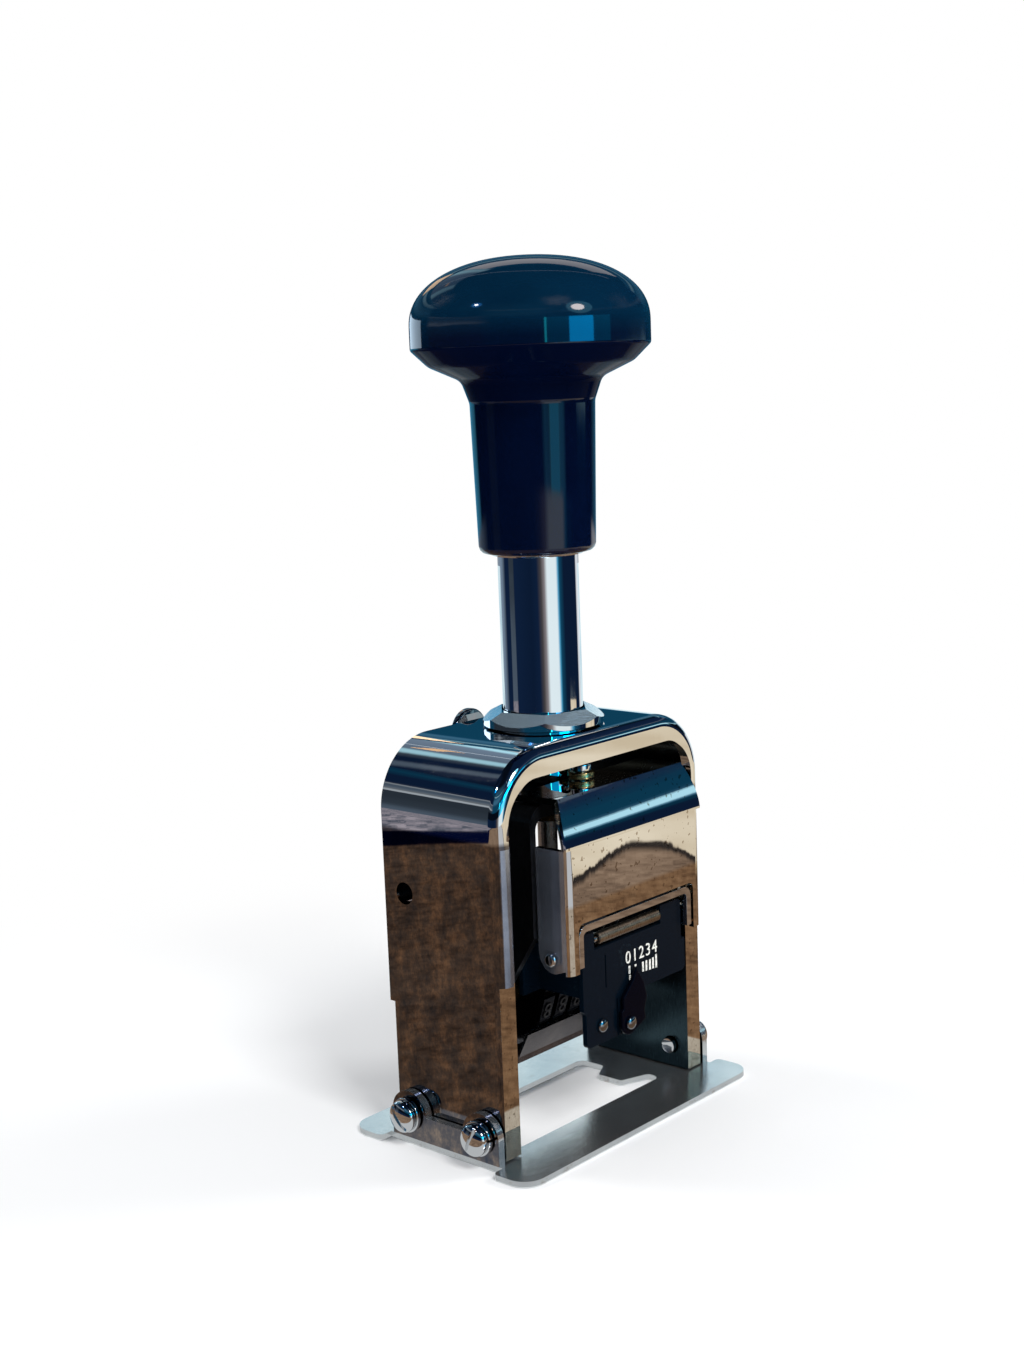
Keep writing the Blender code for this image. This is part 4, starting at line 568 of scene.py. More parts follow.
def make_collar():
    """A round flange on a sleeve, under six flats that slope up to the bore."""
    flange, seat, top, foot, to_corner = 11.5, 76.1, 79.0, 69.0, 1 / math.cos(math.pi / 6)
    made = new_object("collar_body", turned([
        (0, top), (11.3, top), (flange, 78.8), (flange, seat + 0.15), (11.35, seat), (9.4, seat),
        (9.4, 70.7), (9.2, 70.5), (0, 70.5),
    ]))
    flats = bmesh.new()
    bmesh.ops.create_cone(
        flats, cap_ends=True, segments=6, radius1=(flange + 1.8 * 8) * to_corner * MM,
        radius2=COLLAR_BORE * to_corner * MM, depth=(top - foot) * MM,
    )
    bmesh.ops.rotate(flats, verts=flats.verts, matrix=Matrix.Rotation(math.radians(12), 3, "Z"))
    bmesh.ops.translate(flats, verts=flats.verts, vec=mm(0, 0, (top + foot) / 2))
    combine(made, flats, "INTERSECT")
    cut(made, rod(COLLAR_BORE, foot, 82, steps=128))
    cut(made, rod(LOCK_BORE, 0, 12, "Y", LOCK_CENTRE))
    edge_bevel(made, 0.12, 2, 20)
    stand_for(made, "collar_nut", CHROME, 25)
    # The sloped flats take the painted sheen.
    repaint(made, [COLLAR_PAINTED_SHEEN], lambda middle, normal: 0.45 < normal.z < 0.97 and middle.z > 73.5)


# Arch and lock button

def arch(bottom, top, half, crown, inner_half, inner_top, inner_radius, steps=28):
    return rounded([
        (-half, bottom, 0), (-inner_half, bottom, 0), (-inner_half, inner_top, inner_radius),
        (inner_half, inner_top, inner_radius), (inner_half, bottom, 0), (half, bottom, 0),
        (half, top, crown), (-half, top, crown),
    ], steps)


def frame_finish(middle, normal):
    """0 on the walls, 1 inside, 2 on the front lip below the crown and 3 below the lip."""
    if middle.y < -12.9 and middle.z < LIP_HIGH and normal.y < -0.8:
        return 2 if middle.z > LIP_LOW else 3
    inward = normal.x * middle.x < 0 and abs(normal.x) > 0.5
    under = normal.z < -0.5 and middle.z > 60
    return abs(middle.x) < 26.2 and (inward or under)


def on_front_rim(vert):
    x, y, z = vert.co / MM
    return y < -14.3 and (abs(x) > 25.8 or z > 70.6)


def make_outer_frame():
    body = prism(arch(1.5, 75.8, 30.1, 12.9, 25.7, 70.5, 6.4), "Y", -14.4, 14.4)
    # The front lip is rolled over on its outer side
    rim = [edge for edge in body.edges if all(on_front_rim(vert) for vert in edge.verts)]
    bmesh.ops.bevel(
        body, geom=rim, offset=2.3 * MM, offset_type="OFFSET", segments=8, profile=0.5, affect="EDGES",
        clamp_overlap=False,
    )
    made = new_object("arch_body", body)
    # A lip is left on the outer side, at the front above LIP_LOW and at the back above 26.5
    relief = rounded([
        (-31, 0.5, 0), (31, 0.5, 0), (31, LIP_LOW, 0), (27.2, LIP_LOW, 0), (27.2, 70.2, 7.9),
        (-27.2, 70.2, 7.9), (-27.2, LIP_LOW, 0), (-31, LIP_LOW, 0),
    ], 28)
    cut(made, prism(relief, "Y", -15.4, -13.2))
    cut(made, block((-31, 13.2, 0.5), (31, 15.4, 26.5)))
    edge_bevel(made, 0.45, 4)
    cut(made, rod(9.7, 69, 77, steps=96))
    cut(made, rod(2.1, -32, 32, "X", (0, 9.3, 48.0)))
    for side in SIDES:
        cut(made, rod(2.0, *span(side, 24.7, 27.5), "X", (0, 0, 38.1)))
        for y in SCREW_ROWS:
            cut(made, rod(SCREW_HOLE, *span(side, 24.7, 31.1), "X", (0, y, SCREW_HEIGHT), 32))
    cut(made, rod(LOCK_BORE, 0, 15.4, "Y", LOCK_CENTRE, 32))
    # The walls take the painted reflection of the wooden table, up to 60.6 mm.
    stand_for(made, "outer_frame", WALL_CHROME, 40)
    split = bmesh.new()
    split.from_mesh(made.data)
    for level in (LIP_LOW, LIP_HIGH):
        bmesh.ops.bisect_plane(
            split, geom=split.verts[:] + split.edges[:] + split.faces[:], plane_co=mm(0, 0, level),
            plane_no=(0, 0, 1),
        )
    split.to_mesh(made.data)
    split.free()
    # The inner faces take the painted shade, the front lip the steel with its painted blue tint, and the
    # faces below the lip the cover's painted reflection.
    repaint(made, [INNER_PAINTED_SHADE, STEEL_WEAR_AND_BLUE_REFLECTION, COVER_CHROME], frame_finish)


def make_lock_button():
    profile = soft_edge([(0, 18.5), (4.5, 18.5), (4.5, 16.9), (1.2, 16.9), (1.2, 10.7), (0, 10.7)], 0.4, 4)
    made = new_object("button_body", turned(profile, "Y", LOCK_CENTRE, 64))
    stand_for(made, "lock_button", DARK_CHROME)


# Base and its screws

def make_base():
    """A plate with four ears and a window, and along each side a flange with two round lugs."""
    half = [
        (34.6, -22.5, 4.2), (34.6, -14.1, 1.2), (FLANGE_OUT, -14.1, 0), (FLANGE_OUT, 14.1, 0),
        (34.6, 14.1, 1.2), (34.6, 22.5, 4.2),
    ]
    outline = rounded(half + [(-x, -y, radius) for x, y, radius in half], 10)
    window = rounded([
        (-23.4, -10.6, 1.6), (19.5, -10.6, 1.6), (19.5, -7.7, 0.8), (13.4, -5.5, 0.8), (13.4, 0.2, 0.8),
        (17.6, 2.4, 0.8), (17.6, 8.3, 1.6), (-23.4, 8.3, 1.6),
    ], 6)
    made = new_object("base_body", prism(outline, "Z", 0, 1.2))
    cut(made, prism(window, "Z", -1, 3))
    lug, valley, foot = 4.4, 6.0, 0.6
    dip = math.degrees(math.asin((valley - SCREW_HEIGHT) / lug))
    flange = arc((SCREW_ROWS[1], SCREW_HEIGHT), lug, 0, 180 - dip, 24)
    flange += arc((SCREW_ROWS[0], SCREW_HEIGHT), lug, dip, 180, 24)
    flange = [(13.4, foot)] + flange + [(-13.4, foot)]
    for side in SIDES:
        join(made, prism(flange, "X", *span(side, FLANGE_IN, FLANGE_OUT)))
        for y in SCREW_ROWS:
            through = span(side, FLANGE_IN - 1, FLANGE_OUT + 1)
            cut(made, rod(SCREW_HOLE, *through, "X", (0, y, SCREW_HEIGHT), 32))
    edge_bevel(made, 0.22)
    stand_for(made, "base_plate", BASE_STEEL, 40)
    # The flanges' upright sides take the walls' painted reflection of the table.
    repaint(made, [WALL_CHROME], lambda middle, normal: abs(normal.x) > 0.8 and middle.z > 1.3)


def make_base_screws():
    """Cheese heads with a rounded rim and a slot, turned a little differently, on split washers."""
    turns = {"front_left": 24, "rear_left": -38, "front_right": 70, "rear_right": 12}
    head = domed(3.0, 33.8, 1.5, 10) + [(3.0, 33.4), (1.5, 33.4), (1.5, 24.5), (0, 24.5)]
    for name, turn in turns.items():
        side = -1 if name.endswith("left") else 1
        centre = (0, SCREW_ROWS[0 if name.startswith("front") else 1], SCREW_HEIGHT)
        made = new_object("screw_" + name, turned(mirrored(head, side), "X", centre, 64))
        low, high = span(side, 34.4, 36.3)
        cut(made, turned_block((low, -0.35, -4), (high, 0.35, 4), turn, "X", centre))
        edge_bevel(made, 0.1, 2)
        stand_for(made, "base_screw_" + name, CHROME, 40)
        low, high = span(side, 32.2, 33.1)
        ring = soft_edge([(3.3, high), (3.3, low), (SCREW_HOLE, low), (SCREW_HOLE, high)], 0.2)
        made = new_object("washer_" + name, turned(ring, "X", centre, 64))
        cut(made, turned_block((low - 1, -0.25, 1.2), (high + 1, 0.25, 4.2), turn + 60, "X", centre))
        stand_for(made, "base_washer_" + name, CHROME, 40)


# Cover, bail and setting plate

def cover_profile(inset, steps=24):
    """The cover from the side: upright, then bent back towards its screw."""
    face, crest, top = COVER_FACE - inset, 18.4 - inset, COVER_TOP - inset
    points = [(-face, 34.9), (-face, COVER_BEND)]
    for k in range(1, steps):
        share = k / steps
        points.append((-face + (face - crest) * share ** 1.6, COVER_BEND + (top - COVER_BEND) * share))
    return points + [(-crest, top), (-8.2, 66.6 - inset)]


def make_cover():
    """A bent sheet with two cheeks, narrowed towards its top, with a cut-out for the bail."""
    outline = cover_profile(0) + cover_profile(COVER_SHEET)[::-1]
    made = new_object("cover_sheet", prism(outline, "X", -COVER_HALF, COVER_HALF))
    cheek = rounded([
        (-20.9, COVER_BEND, 0), (-20.9, 36.0, 0), (-17.9, 34.9, 1.2), (-14.3, 34.9, 3.6),
        (-14.3, COVER_BEND, 0),
    ], 10)
    for side in SIDES:
        low, high = span(side, COVER_HALF - COVER_SHEET, COVER_HALF)
        join(made, prism(cheek, "X", low, high))
        cut(made, rod(HINGE_BORE, low - 1, high + 1, "X", HINGE, 32))
    opening = rounded([(-17.3, 33.9, 0), (17.3, 33.9, 0), (17.3, 44.0, 1.4), (-17.3, 44.0, 1.4)], 10)
    cut(made, prism(opening, "Y", -22.5, -20.1))
    fold, steps = 1.8, 24
    inner, outer = COVER_HALF - fold, COVER_HALF + 1
    for side in SIDES:
        corner = [(outer, COVER_BEND), (COVER_HALF, COVER_BEND)]
        for share in (k / steps for k in range(1, steps)):
            corner.append((COVER_HALF - fold * share ** 2, COVER_BEND + (COVER_TOP - COVER_BEND) * share))
        corner += [(inner, COVER_TOP + 1), (outer, COVER_TOP + 1)]
        cut(made, prism([(side * x, z) for x, z in corner], "Y", -22.5, 0))
    for side in SIDES:
        rim = arc((inner, -19.7), fold, -90, 0, 14) + [(outer, -19.7), (outer, -22.5), (inner, -22.5)]
        cut(made, prism([(side * x, y) for x, y in rim], "Z", 33.9, COVER_BEND))
    cut(made, rod(1.4, 65.2, 68, centre=COVER_SCREW, steps=32))
    edge_bevel(made, 0.28, 4)
    # The sheet takes the painted reflection of cloth and table below 48 mm; the cheeks take the steel with
    # its painted blue tint.
    stand_for(made, "front_cover", COVER_CHROME, 40)
    repaint(made, [STEEL_WEAR_AND_BLUE_REFLECTION], lambda middle, normal: (
        middle.z < COVER_BEND and abs(middle.x) > 18.4 and normal.x * middle.x > 0 and abs(normal.x) > 0.86
    ))


def make_cover_screw():
    ring = soft_edge([(2.5, 68.2), (2.5, 66.9), (1.4, 66.9), (1.4, 68.2)], 0.25)
    made = new_object("washer_brass", turned(ring, "Z", COVER_SCREW, 64))
    stand_for(made, "cover_washer", BRASS)
    screw = [(0, 70.0)] + arc((1.35, 69.35), 0.65, 90, 0, 8)
    screw += [(2.0, 68.5), (1.1, 68.5), (1.1, 62.8), (0, 62.8)]
    made = new_object("screw_cover", turned(screw, "Z", COVER_SCREW, 64))
    cut(made, turned_block((-3, -0.3, 69.4), (3, 0.3, 71), -20, "Z", COVER_SCREW))
    stand_for(made, "cover_screw", CHROME, 40)


def make_bail():
    made = new_object("bail_bow", prism(arch(35.6, 43.4, 16.9, 2.2, 15.6, 42.1, 0.9, 14), "Y", -21.2, -20.2))
    eye = rounded([(-21.0, 35.7, 0), (-15.4, 35.7, 1.9), (-15.4, 39.5, 1.9), (-21.0, 39.5, 0)], 12)
    for side in SIDES:
        low, high = span(side, 15.7, 16.8)
        join(made, prism(eye, "X", low, high))
        cut(made, rod(HINGE_BORE, low - 1, high + 1, "X", HINGE, 32))
    edge_bevel(made, 0.28, 4)
    stand_for(made, "bail", CHROME, 40)
    pivot = [(0, 21.0)] + arc((0.75, 20.5), 0.5, 90, 0, 8)
    pivot += [(1.25, 20.4), (0.8, 20.4), (0.8, 15.6), (0, 15.6)]
    for name, side in (("left", -1), ("right", 1)):
        made = new_object("pivot_" + name, turned(mirrored(pivot, side), "X", HINGE, 48))
        stand_for(made, "bail_pivot_" + name, CHROME)


def make_setting_plate():
    """A notched plate with a slit, a groove and a stay on each side."""
    outline = rounded([
        (-14.7, 26.6, 0.5), (-14.0, 25.6, 0), (-14.0, 19.3, 1.0), (-5.15, 19.3, 0), (-5.15, 26.6, 0),
        (-4.65, 26.6, 0), (-4.65, 19.3, 0), (1.6, 19.3, 1.0), (1.6, 26.6, 0.5), (16.3, 26.6, 1.0),
        (16.3, 33.0, 0.25), (15.2, 33.0, 0.25), (15.2, 41.0, 1.0), (8.8, 41.0, 0), (8.8, 37.5, 0),
        (-11.2, 37.5, 0), (-11.2, 41.0, 0), (-14.7, 41.0, 1.0),
    ], 6)
    made = new_object("plate_sheet", prism(outline, "Y", PLATE_FACE, PLATE_BACK))
    stay = [(13.5, -19.5), (13.5, -8.5), (19.2, -8.5), (19.2, -9.4), (14.4, -9.4), (14.4, -19.5)]
    for side in SIDES:
        join(made, prism([(side * x, y) for x, y in stay], "Z", 29, 38))
    for x, z in (TAB_PLACE, POINTER_PLACE):
        cut(made, rod(RIVET_BORE, -21.3, -17.9, "Y", (x, 0, z), 32))
    cut(made, block((-8.25, -20.2, 29.5), (-7.9, -19.65, 35.8)))
    edge_bevel(made, 0.16)
    stand_for(made, "setting_plate", BLACK, 40)


def make_roller():
    centre = (0, -19.4, 39.3)
    sleeve = [(1.15, 8.05), (1.0, 8.2), (0.7, 8.2), (0.7, -9.9), (1.0, -9.9), (1.15, -9.75)]
    made = new_object("roller_body", turned(sleeve, "X", centre, 64))
    stand_for(made, "roller", ROLLER_STEEL)
    pin = [(0, 8.5), (0.45, 8.5), (0.55, 8.4), (0.55, -10.8), (0.45, -10.9), (0, -10.9)]
    stand_for(new_object("pin_body", turned(pin, "X", centre, 32)), "roller_pin", CHROME)


def make_pointer():
    """A waved blade on a round eye, and the two rivets of the plate."""
    length, eye = 10.1, 2.3
    blade = [
        (0.337, -0.119), (0.475, -0.050), (0.446, 0.139), (0.530, 0.376), (0.446, 0.663), (0.238, 1.0),
        (0.125, 0.782), (-0.168, 0.505), (-0.158, 0.297),
    ]
    outline = arc((0, 0), eye, 180, 300, 14) + [(length * x, length * z) for x, z in blade] + [(-eye, 2.6)]
    outline = [(x + POINTER_PLACE[0], z + POINTER_PLACE[1]) for x, z in outline]
    made = new_object("pointer_blade", prism(outline, "Y", -21.0, -20.2))
    cut(made, rod(RIVET_BORE, -22.4, -19.2, "Y", (POINTER_PLACE[0], 0, POINTER_PLACE[1]), 32))
    edge_bevel(made, 0.2, 3, 25)
    stand_for(made, "pointer", POINTER_BLACK, 40)
    for node, (x, z), seat in (("pointer_rivet", POINTER_PLACE, -21.3), ("tab_rivet", TAB_PLACE, -20.2)):
        rivet = [(0, PLATE_BACK), (0.8, PLATE_BACK), (0.8, seat)] + domed(1.3, seat, -0.6, 8)[::-1]
        stand_for(new_object(node + "_head", turned(rivet, "Y", (x, 0, z), 48)), node, DARK_CHROME)


# Figures

def figure(name, text, height, depth, place):
    """One figure as a solid mesh, centred on its own middle, then placed by a matrix."""
    curve = bpy.data.curves.new(name, "FONT")
    curve.body = text
    curve.size = height * MM / FIGURE_SHARE
    curve.align_x = "CENTER"
    curve.align_y = "CENTER"
    curve.extrude = depth * MM / 2
    curve.resolution_u = 3
    mesh = mesh_from(curve)
    mesh.transform(place)
    return mesh


def merge(name, meshes, material, body):
    """Several small meshes as one piece."""
    bm = bmesh.new()
    for mesh in meshes:
        bm.from_mesh(mesh)
    made = new_object(name, bm)
    made.data.materials.append(material)
    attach(made, body)


def make_plate_figures():
    """The figures 0 to 4, and under them what is left of their marks."""
    facing = Matrix.Rotation(math.pi / 2, 4, "X")
    meshes = []
    for k in range(5):
        place = Matrix.Translation(mm(-1.4 + 2.03 * k, PLATE_FACE - 0.03, 33.4))
        meshes.append(figure("figure", str(k), 2.45, 0.12, place @ facing))
    marks = [
        (-1.1, 30.3, 31.8), (-1.0, 29.1, 30.0), (0.75, 31.2, 31.6), (3.0, 29.6, 31.5), (4.05, 29.5, 31.5),
        (5.15, 29.4, 31.4), (6.1, 29.4, 31.5), (7.1, 29.3, 31.9),
    ]
    for x, low, high in marks:
        bar = block((x - 0.24, PLATE_FACE - 0.09, low), (x + 0.24, PLATE_FACE + 0.02, high))
        meshes.append(new_mesh("mark", bar))
    merge("plate_figures", meshes, WHITE, "carriage")


def make_wheel_figures():
    """Raised figures, reversed for printing, on the ten flats of each wheel."""
    flats, width, radius, lift = 10, 3.1, 9.2, 0.12
    apothem = radius * math.cos(math.pi / flats)
    for name in WHEELS:
        middle = Vector((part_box(name)[0].x + width * MM / 2, 0, AXLE_HEIGHT * MM))
        meshes = []
        for k in range(flats):
            turn = -math.pi / 2 + k * math.tau / flats
            outward = Vector((0, math.cos(turn), math.sin(turn)))
            up = Vector((0, -math.sin(turn), math.cos(turn)))
            reversed_basis = Matrix((Vector((1, 0, 0)), up, outward)).transposed().to_4x4()
            place = Matrix.Translation(middle + outward * ((apothem + lift) * MM)) @ reversed_basis
            meshes.append(figure("digit", str(k), 3.4, 0.3, place))
        merge(name + "_figures", meshes, INK, name)


# Soft and wound pieces

def make_pad():
    """A felt block with a rounded, faintly rippled top."""
    low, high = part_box("ink_pad")
    columns, rows, ripple, drop = 48, 16, 0.06 * MM, 0.5 * MM
    bm = bmesh.new()
    grid = []
    for j in range(rows + 1):
        line = []
        for i in range(columns + 1):
            u, v = i / columns * 2 - 1, j / rows * 2 - 1
            crown = (1 - abs(u) ** 8) * (1 - abs(v) ** 6)
            wave = ripple * math.sin(i * 1.7) * math.sin(j * 2.3)
            x = (low.x + high.x) / 2 + u * (high.x - low.x) / 2
            y = (low.y + high.y) / 2 + v * (high.y - low.y) / 2
            z = high.z - drop + drop * crown ** 0.5 + wave * crown - ripple
            line.append(bm.verts.new((x, y, z)))
        grid.append(line)
    for here, behind in zip(grid, grid[1:]):
        for i in range(columns):
            bm.faces.new((here[i], here[i + 1], behind[i + 1], behind[i]))
    rim = [edge for edge in bm.edges if edge.is_boundary]
    down = bmesh.ops.extrude_edge_only(bm, edges=rim)
    for item in down["geom"]:
        if isinstance(item, bmesh.types.BMVert):
            item.co.z = low.z
    bmesh.ops.contextual_create(bm, geom=[edge for edge in bm.edges if edge.is_boundary])
    bmesh.ops.recalc_face_normals(bm, faces=bm.faces)
    made = new_object("pad_felt", bm)
    stand_for(made, "ink_pad", FELT, 50)


def make_spring():
    """A coil of round wire whose first and last turns are closed."""
    wire, radius, closed, turns, per_turn = 0.6, 4.2, 1.8, 15, 28
    low, high = 78.3 + wire, 143 - 0.3 - wire
    points = []
    for turn in (k / per_turn for k in range(turns * per_turn + 1)):
        if turn < 1:
            z = low + closed * turn
        elif turn > turns - 1:
            z = high - closed * (turns - turn)
        else:
            z = low + closed + (high - low - 2 * closed) * (turn - 1) / (turns - 2)
        points.append(mm(radius * math.cos(math.tau * turn), radius * math.sin(math.tau * turn), z))
    curve = bpy.data.curves.new("spring_wire", "CURVE")
    curve.dimensions = "3D"
    curve.bevel_depth = wire * MM
    curve.bevel_resolution = 3
    curve.use_fill_caps = True
    spline = curve.splines.new("POLY")
    spline.points.add(len(points) - 1)
    for point, place in zip(spline.points, points):
        point.co = (*place, 1)
    made = linked("spring_coil", mesh_from(curve))
    made.data.shade_smooth()
    stand_for(made, "return_spring", SPRING_STEEL, None)
    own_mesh(made)


# Finishes of the CAD nodes that stay

def dress_nodes():
    finishes = (
        (DARK_STEEL, ("cross_bar", "carriage_frame", "wheel_axle_clip", "pawl_shaft_clip", "feed_pawl")),
        (SATIN_STEEL, ("spring_rod", "plunger_washer", "wheel_axle", "pawl_shaft")),
        (BRASS, ("plunger_nut", "wheel_spacer_left", "wheel_spacer_right")),
        # The pad holder takes the painted reflection of the table.
        (PAD_STEEL_PAINTED_WOOD, ("ink_pad_holder",)),
        (SPRING_STEEL, ("detent_comb",)),
        # The wheels take the inked type, darkened as painted shade.
        (INKED_TYPE_AND_SHADE, WHEELS),
    )
    for material, names in finishes:
        for data in (NODES[name].data for name in names):
            data.materials.clear()
            data.materials.append(material)
            for polygon in data.polygons:
                polygon.material_index = 0


# Studio and camera

def flat_material(name, colour, strength=1.0):
    made = bpy.data.materials.new(name)
    made.use_nodes = True
    made.node_tree.nodes.clear()
    nodes = Nodes(made.node_tree)
    glow = nodes.add("ShaderNodeEmission", Color=(*colour, 1), Strength=strength)
    out = nodes.add("ShaderNodeOutputMaterial")
    nodes.link(glow.outputs[0], out.inputs["Surface"])
    return made


def reflection_only(obj, material):
    """A card that only gloss sees: it throws no light and no shadow on the object."""
    obj.data.materials.append(material)
    for sight in ("camera", "diffuse", "transmission", "volume_scatter", "shadow"):
        setattr(obj, "visible_" + sight, False)


class Card(Nodes):
    """A flat glowing material, worked out from the place on the card, in metres."""

    def __init__(self, name):
        self.material = flat_material(name, (0, 0, 0))
        super().__init__(self.material.node_tree)
        self.x, self.y, self.z = self.axes()

    def plus(self, a, b):
        return self.math("ADD", a, b)

    def times(self, a, b):
        return self.math("MULTIPLY", a, b)

    def absolute(self, value):
        return self.math("ABSOLUTE", value)

    def scaled(self, value, scale, shift):
        return self.math("MULTIPLY_ADD", value, scale, shift)

    def rest(self, share):
        """What the share leaves of 1."""
        return self.math("SUBTRACT", 1.0, share)

    def band(self, value, *edges):
        """1 between the edges, which fade from the first to the second and from the third to the last."""
        return self.times(self.smooth(value, *edges[:2]), self.rest(self.smooth(value, *edges[2:])))

    def along(self, x, y):
        return self.plus(self.times(self.x, x), self.times(self.y, y))

    def radius(self):
        return self.math("SQRT", self.plus(self.times(self.x, self.x), self.times(self.y, self.y)))

    def share(self):
        """The place round the machine as a share of a turn, from +X towards +Y."""
        return self.math("FRACT", self.math("DIVIDE", self.math("ARCTAN2", self.y, self.x), math.tau))

    def striped(self, share):
        """Where the stripes show: not below the two places where the bands reach down."""
        shoulder = self.band(share, 0.352, 0.360, 0.400, 0.410)
        ahead = self.band(share, 0.848, 0.856, 0.915, 0.925)
        return self.rest(self.math("MAXIMUM", shoulder, ahead))

    def finish(self, colour, obj):
        self.link(colour, self.tree.nodes["Emission"].inputs["Color"])
        reflection_only(obj, self.material)


WALL_RADIUS = 0.45
STRIPE_TOP = 0.068
STEM_TOP = 0.142
BLACKISH = (0.002, 0.004, 0.009)
NAVY = (0.004, 0.012, 0.036)
TEAL = (0.005, 0.055, 0.11)
AZURE = (0.045, 0.15, 0.25)
SLATE = (0.08, 0.11, 0.15)
STEEL = (0.40, 0.44, 0.48)
MAUVE = (0.27, 0.24, 0.25)
BLUE = (0.07, 0.38, 0.62)
AQUA = (0.27, 1.0, 1.0)
ICE = (0.50, 0.86, 1.0)
PALE = (0.80, 0.82, 0.86)
SNOW = (0.86, 0.97, 1.0)


def dim(colour, share):
    return tuple(value * share for value in colour)


# Bands up the round wall as (height, colour), as the arch's left shoulder shows them from below
LEFT_BANDS = [
    (0.0, SLATE), (0.03, dim(SLATE, 0.8)), (0.055, dim(SLATE, 0.4)), (0.12, dim(SLATE, 0.3)),
    (0.162, dim(SLATE, 0.3)), (0.172, STEEL), (0.184, dim(STEEL, 0.4)), (0.2, SLATE),
    (0.222, dim(SLATE, 0.8)), (0.236, dim(STEEL, 0.6)), (0.248, NAVY), (0.32, NAVY), (0.37, dim(TEAL, 0.7)),
    (0.425, NAVY), (1.0, BLACKISH),
]
# The same from the other side of the shoulder, where the flat crown joins it
BACK_BANDS = [
    (0.0, dim(TEAL, 0.8)), (0.217, TEAL), (0.262, AZURE), (0.3, dim(AZURE, 0.8)), (0.325, dim(TEAL, 1.2)),
    (0.345, dim(ICE, 0.56)), (0.358, TEAL), (0.395, dim(AZURE, 0.6)), (0.56, BLACKISH), (1.0, BLACKISH),
]
# High up, by share of a turn, where the shoulder looks round the room
HIGH_STRIPES = [
    (0.0, BLACKISH), (0.15, TEAL), (0.157, ICE), (0.163, ICE), (0.171, dim(SLATE, 2.2)),
    (0.228, dim(SLATE, 1.5)), (0.238, dim(ICE, 0.74)), (0.252, dim(ICE, 0.74)), (0.264, dim(SLATE, 0.6)),
    (0.285, NAVY), (0.302, NAVY), (0.311, dim(SLATE, 0.9)), (0.322, dim(SLATE, 0.9)), (0.331, NAVY),
    (0.4, BLACKISH), (1.0, BLACKISH),
]
# Towards the camera's right, as the front cover's shoulder shows them
FRONT_BANDS = [
    (0.0, dim(SLATE, 0.6)), (0.014, NAVY), (0.075, NAVY), (0.096, dim(TEAL, 0.6)), (0.112, AZURE),
    (0.124, ICE), (0.14, ICE), (0.15, dim(AZURE, 0.7)), (0.17, dim(TEAL, 0.8)), (0.2, dim(TEAL, 0.8)),
    (0.262, dim(NAVY, 1.4)), (0.277, SLATE), (0.305, dim(NAVY, 1.5)), (0.5, NAVY), (1.0, NAVY),
]
# Stripes round the foot of the wall, as (share of a turn, colour), as the plunger shows them
STRIPES = [
    (0.0, PALE), (0.06, STEEL), (0.26, dim(SLATE, 2.2)), (0.285, dim(SLATE, 1.3)), (0.308, dim(NAVY, 1.3)),
    (0.43, dim(NAVY, 1.3)), (0.547, NAVY), (0.6, dim(NAVY, 1.3)), (0.63, dim(MAUVE, 0.25)), (0.657, MAUVE),
    (0.68, SNOW), (0.752, SNOW), (0.768, BLUE), (0.782, dim(TEAL, 1.2)), (0.82, NAVY), (0.968, NAVY),
    (0.985, PALE), (1.0, PALE),
]
# The same above it, as the knob's stem shows them
STEM_STRIPES = [
    (0.0, dim(AZURE, 0.65)), (0.19, dim(BLUE, 1.1)), (0.235, dim(BLUE, 1.1)), (0.255, BLACKISH),
    (0.655, BLACKISH), (0.672, BLUE), (0.69, dim(BLUE, 0.8)), (0.705, AQUA), (0.735, AQUA),
    (0.75, dim(BLUE, 1.5)), (0.768, dim(BLUE, 1.2)), (0.782, BLACKISH), (0.98, BLACKISH),
    (1.0, dim(AZURE, 0.65)),
]


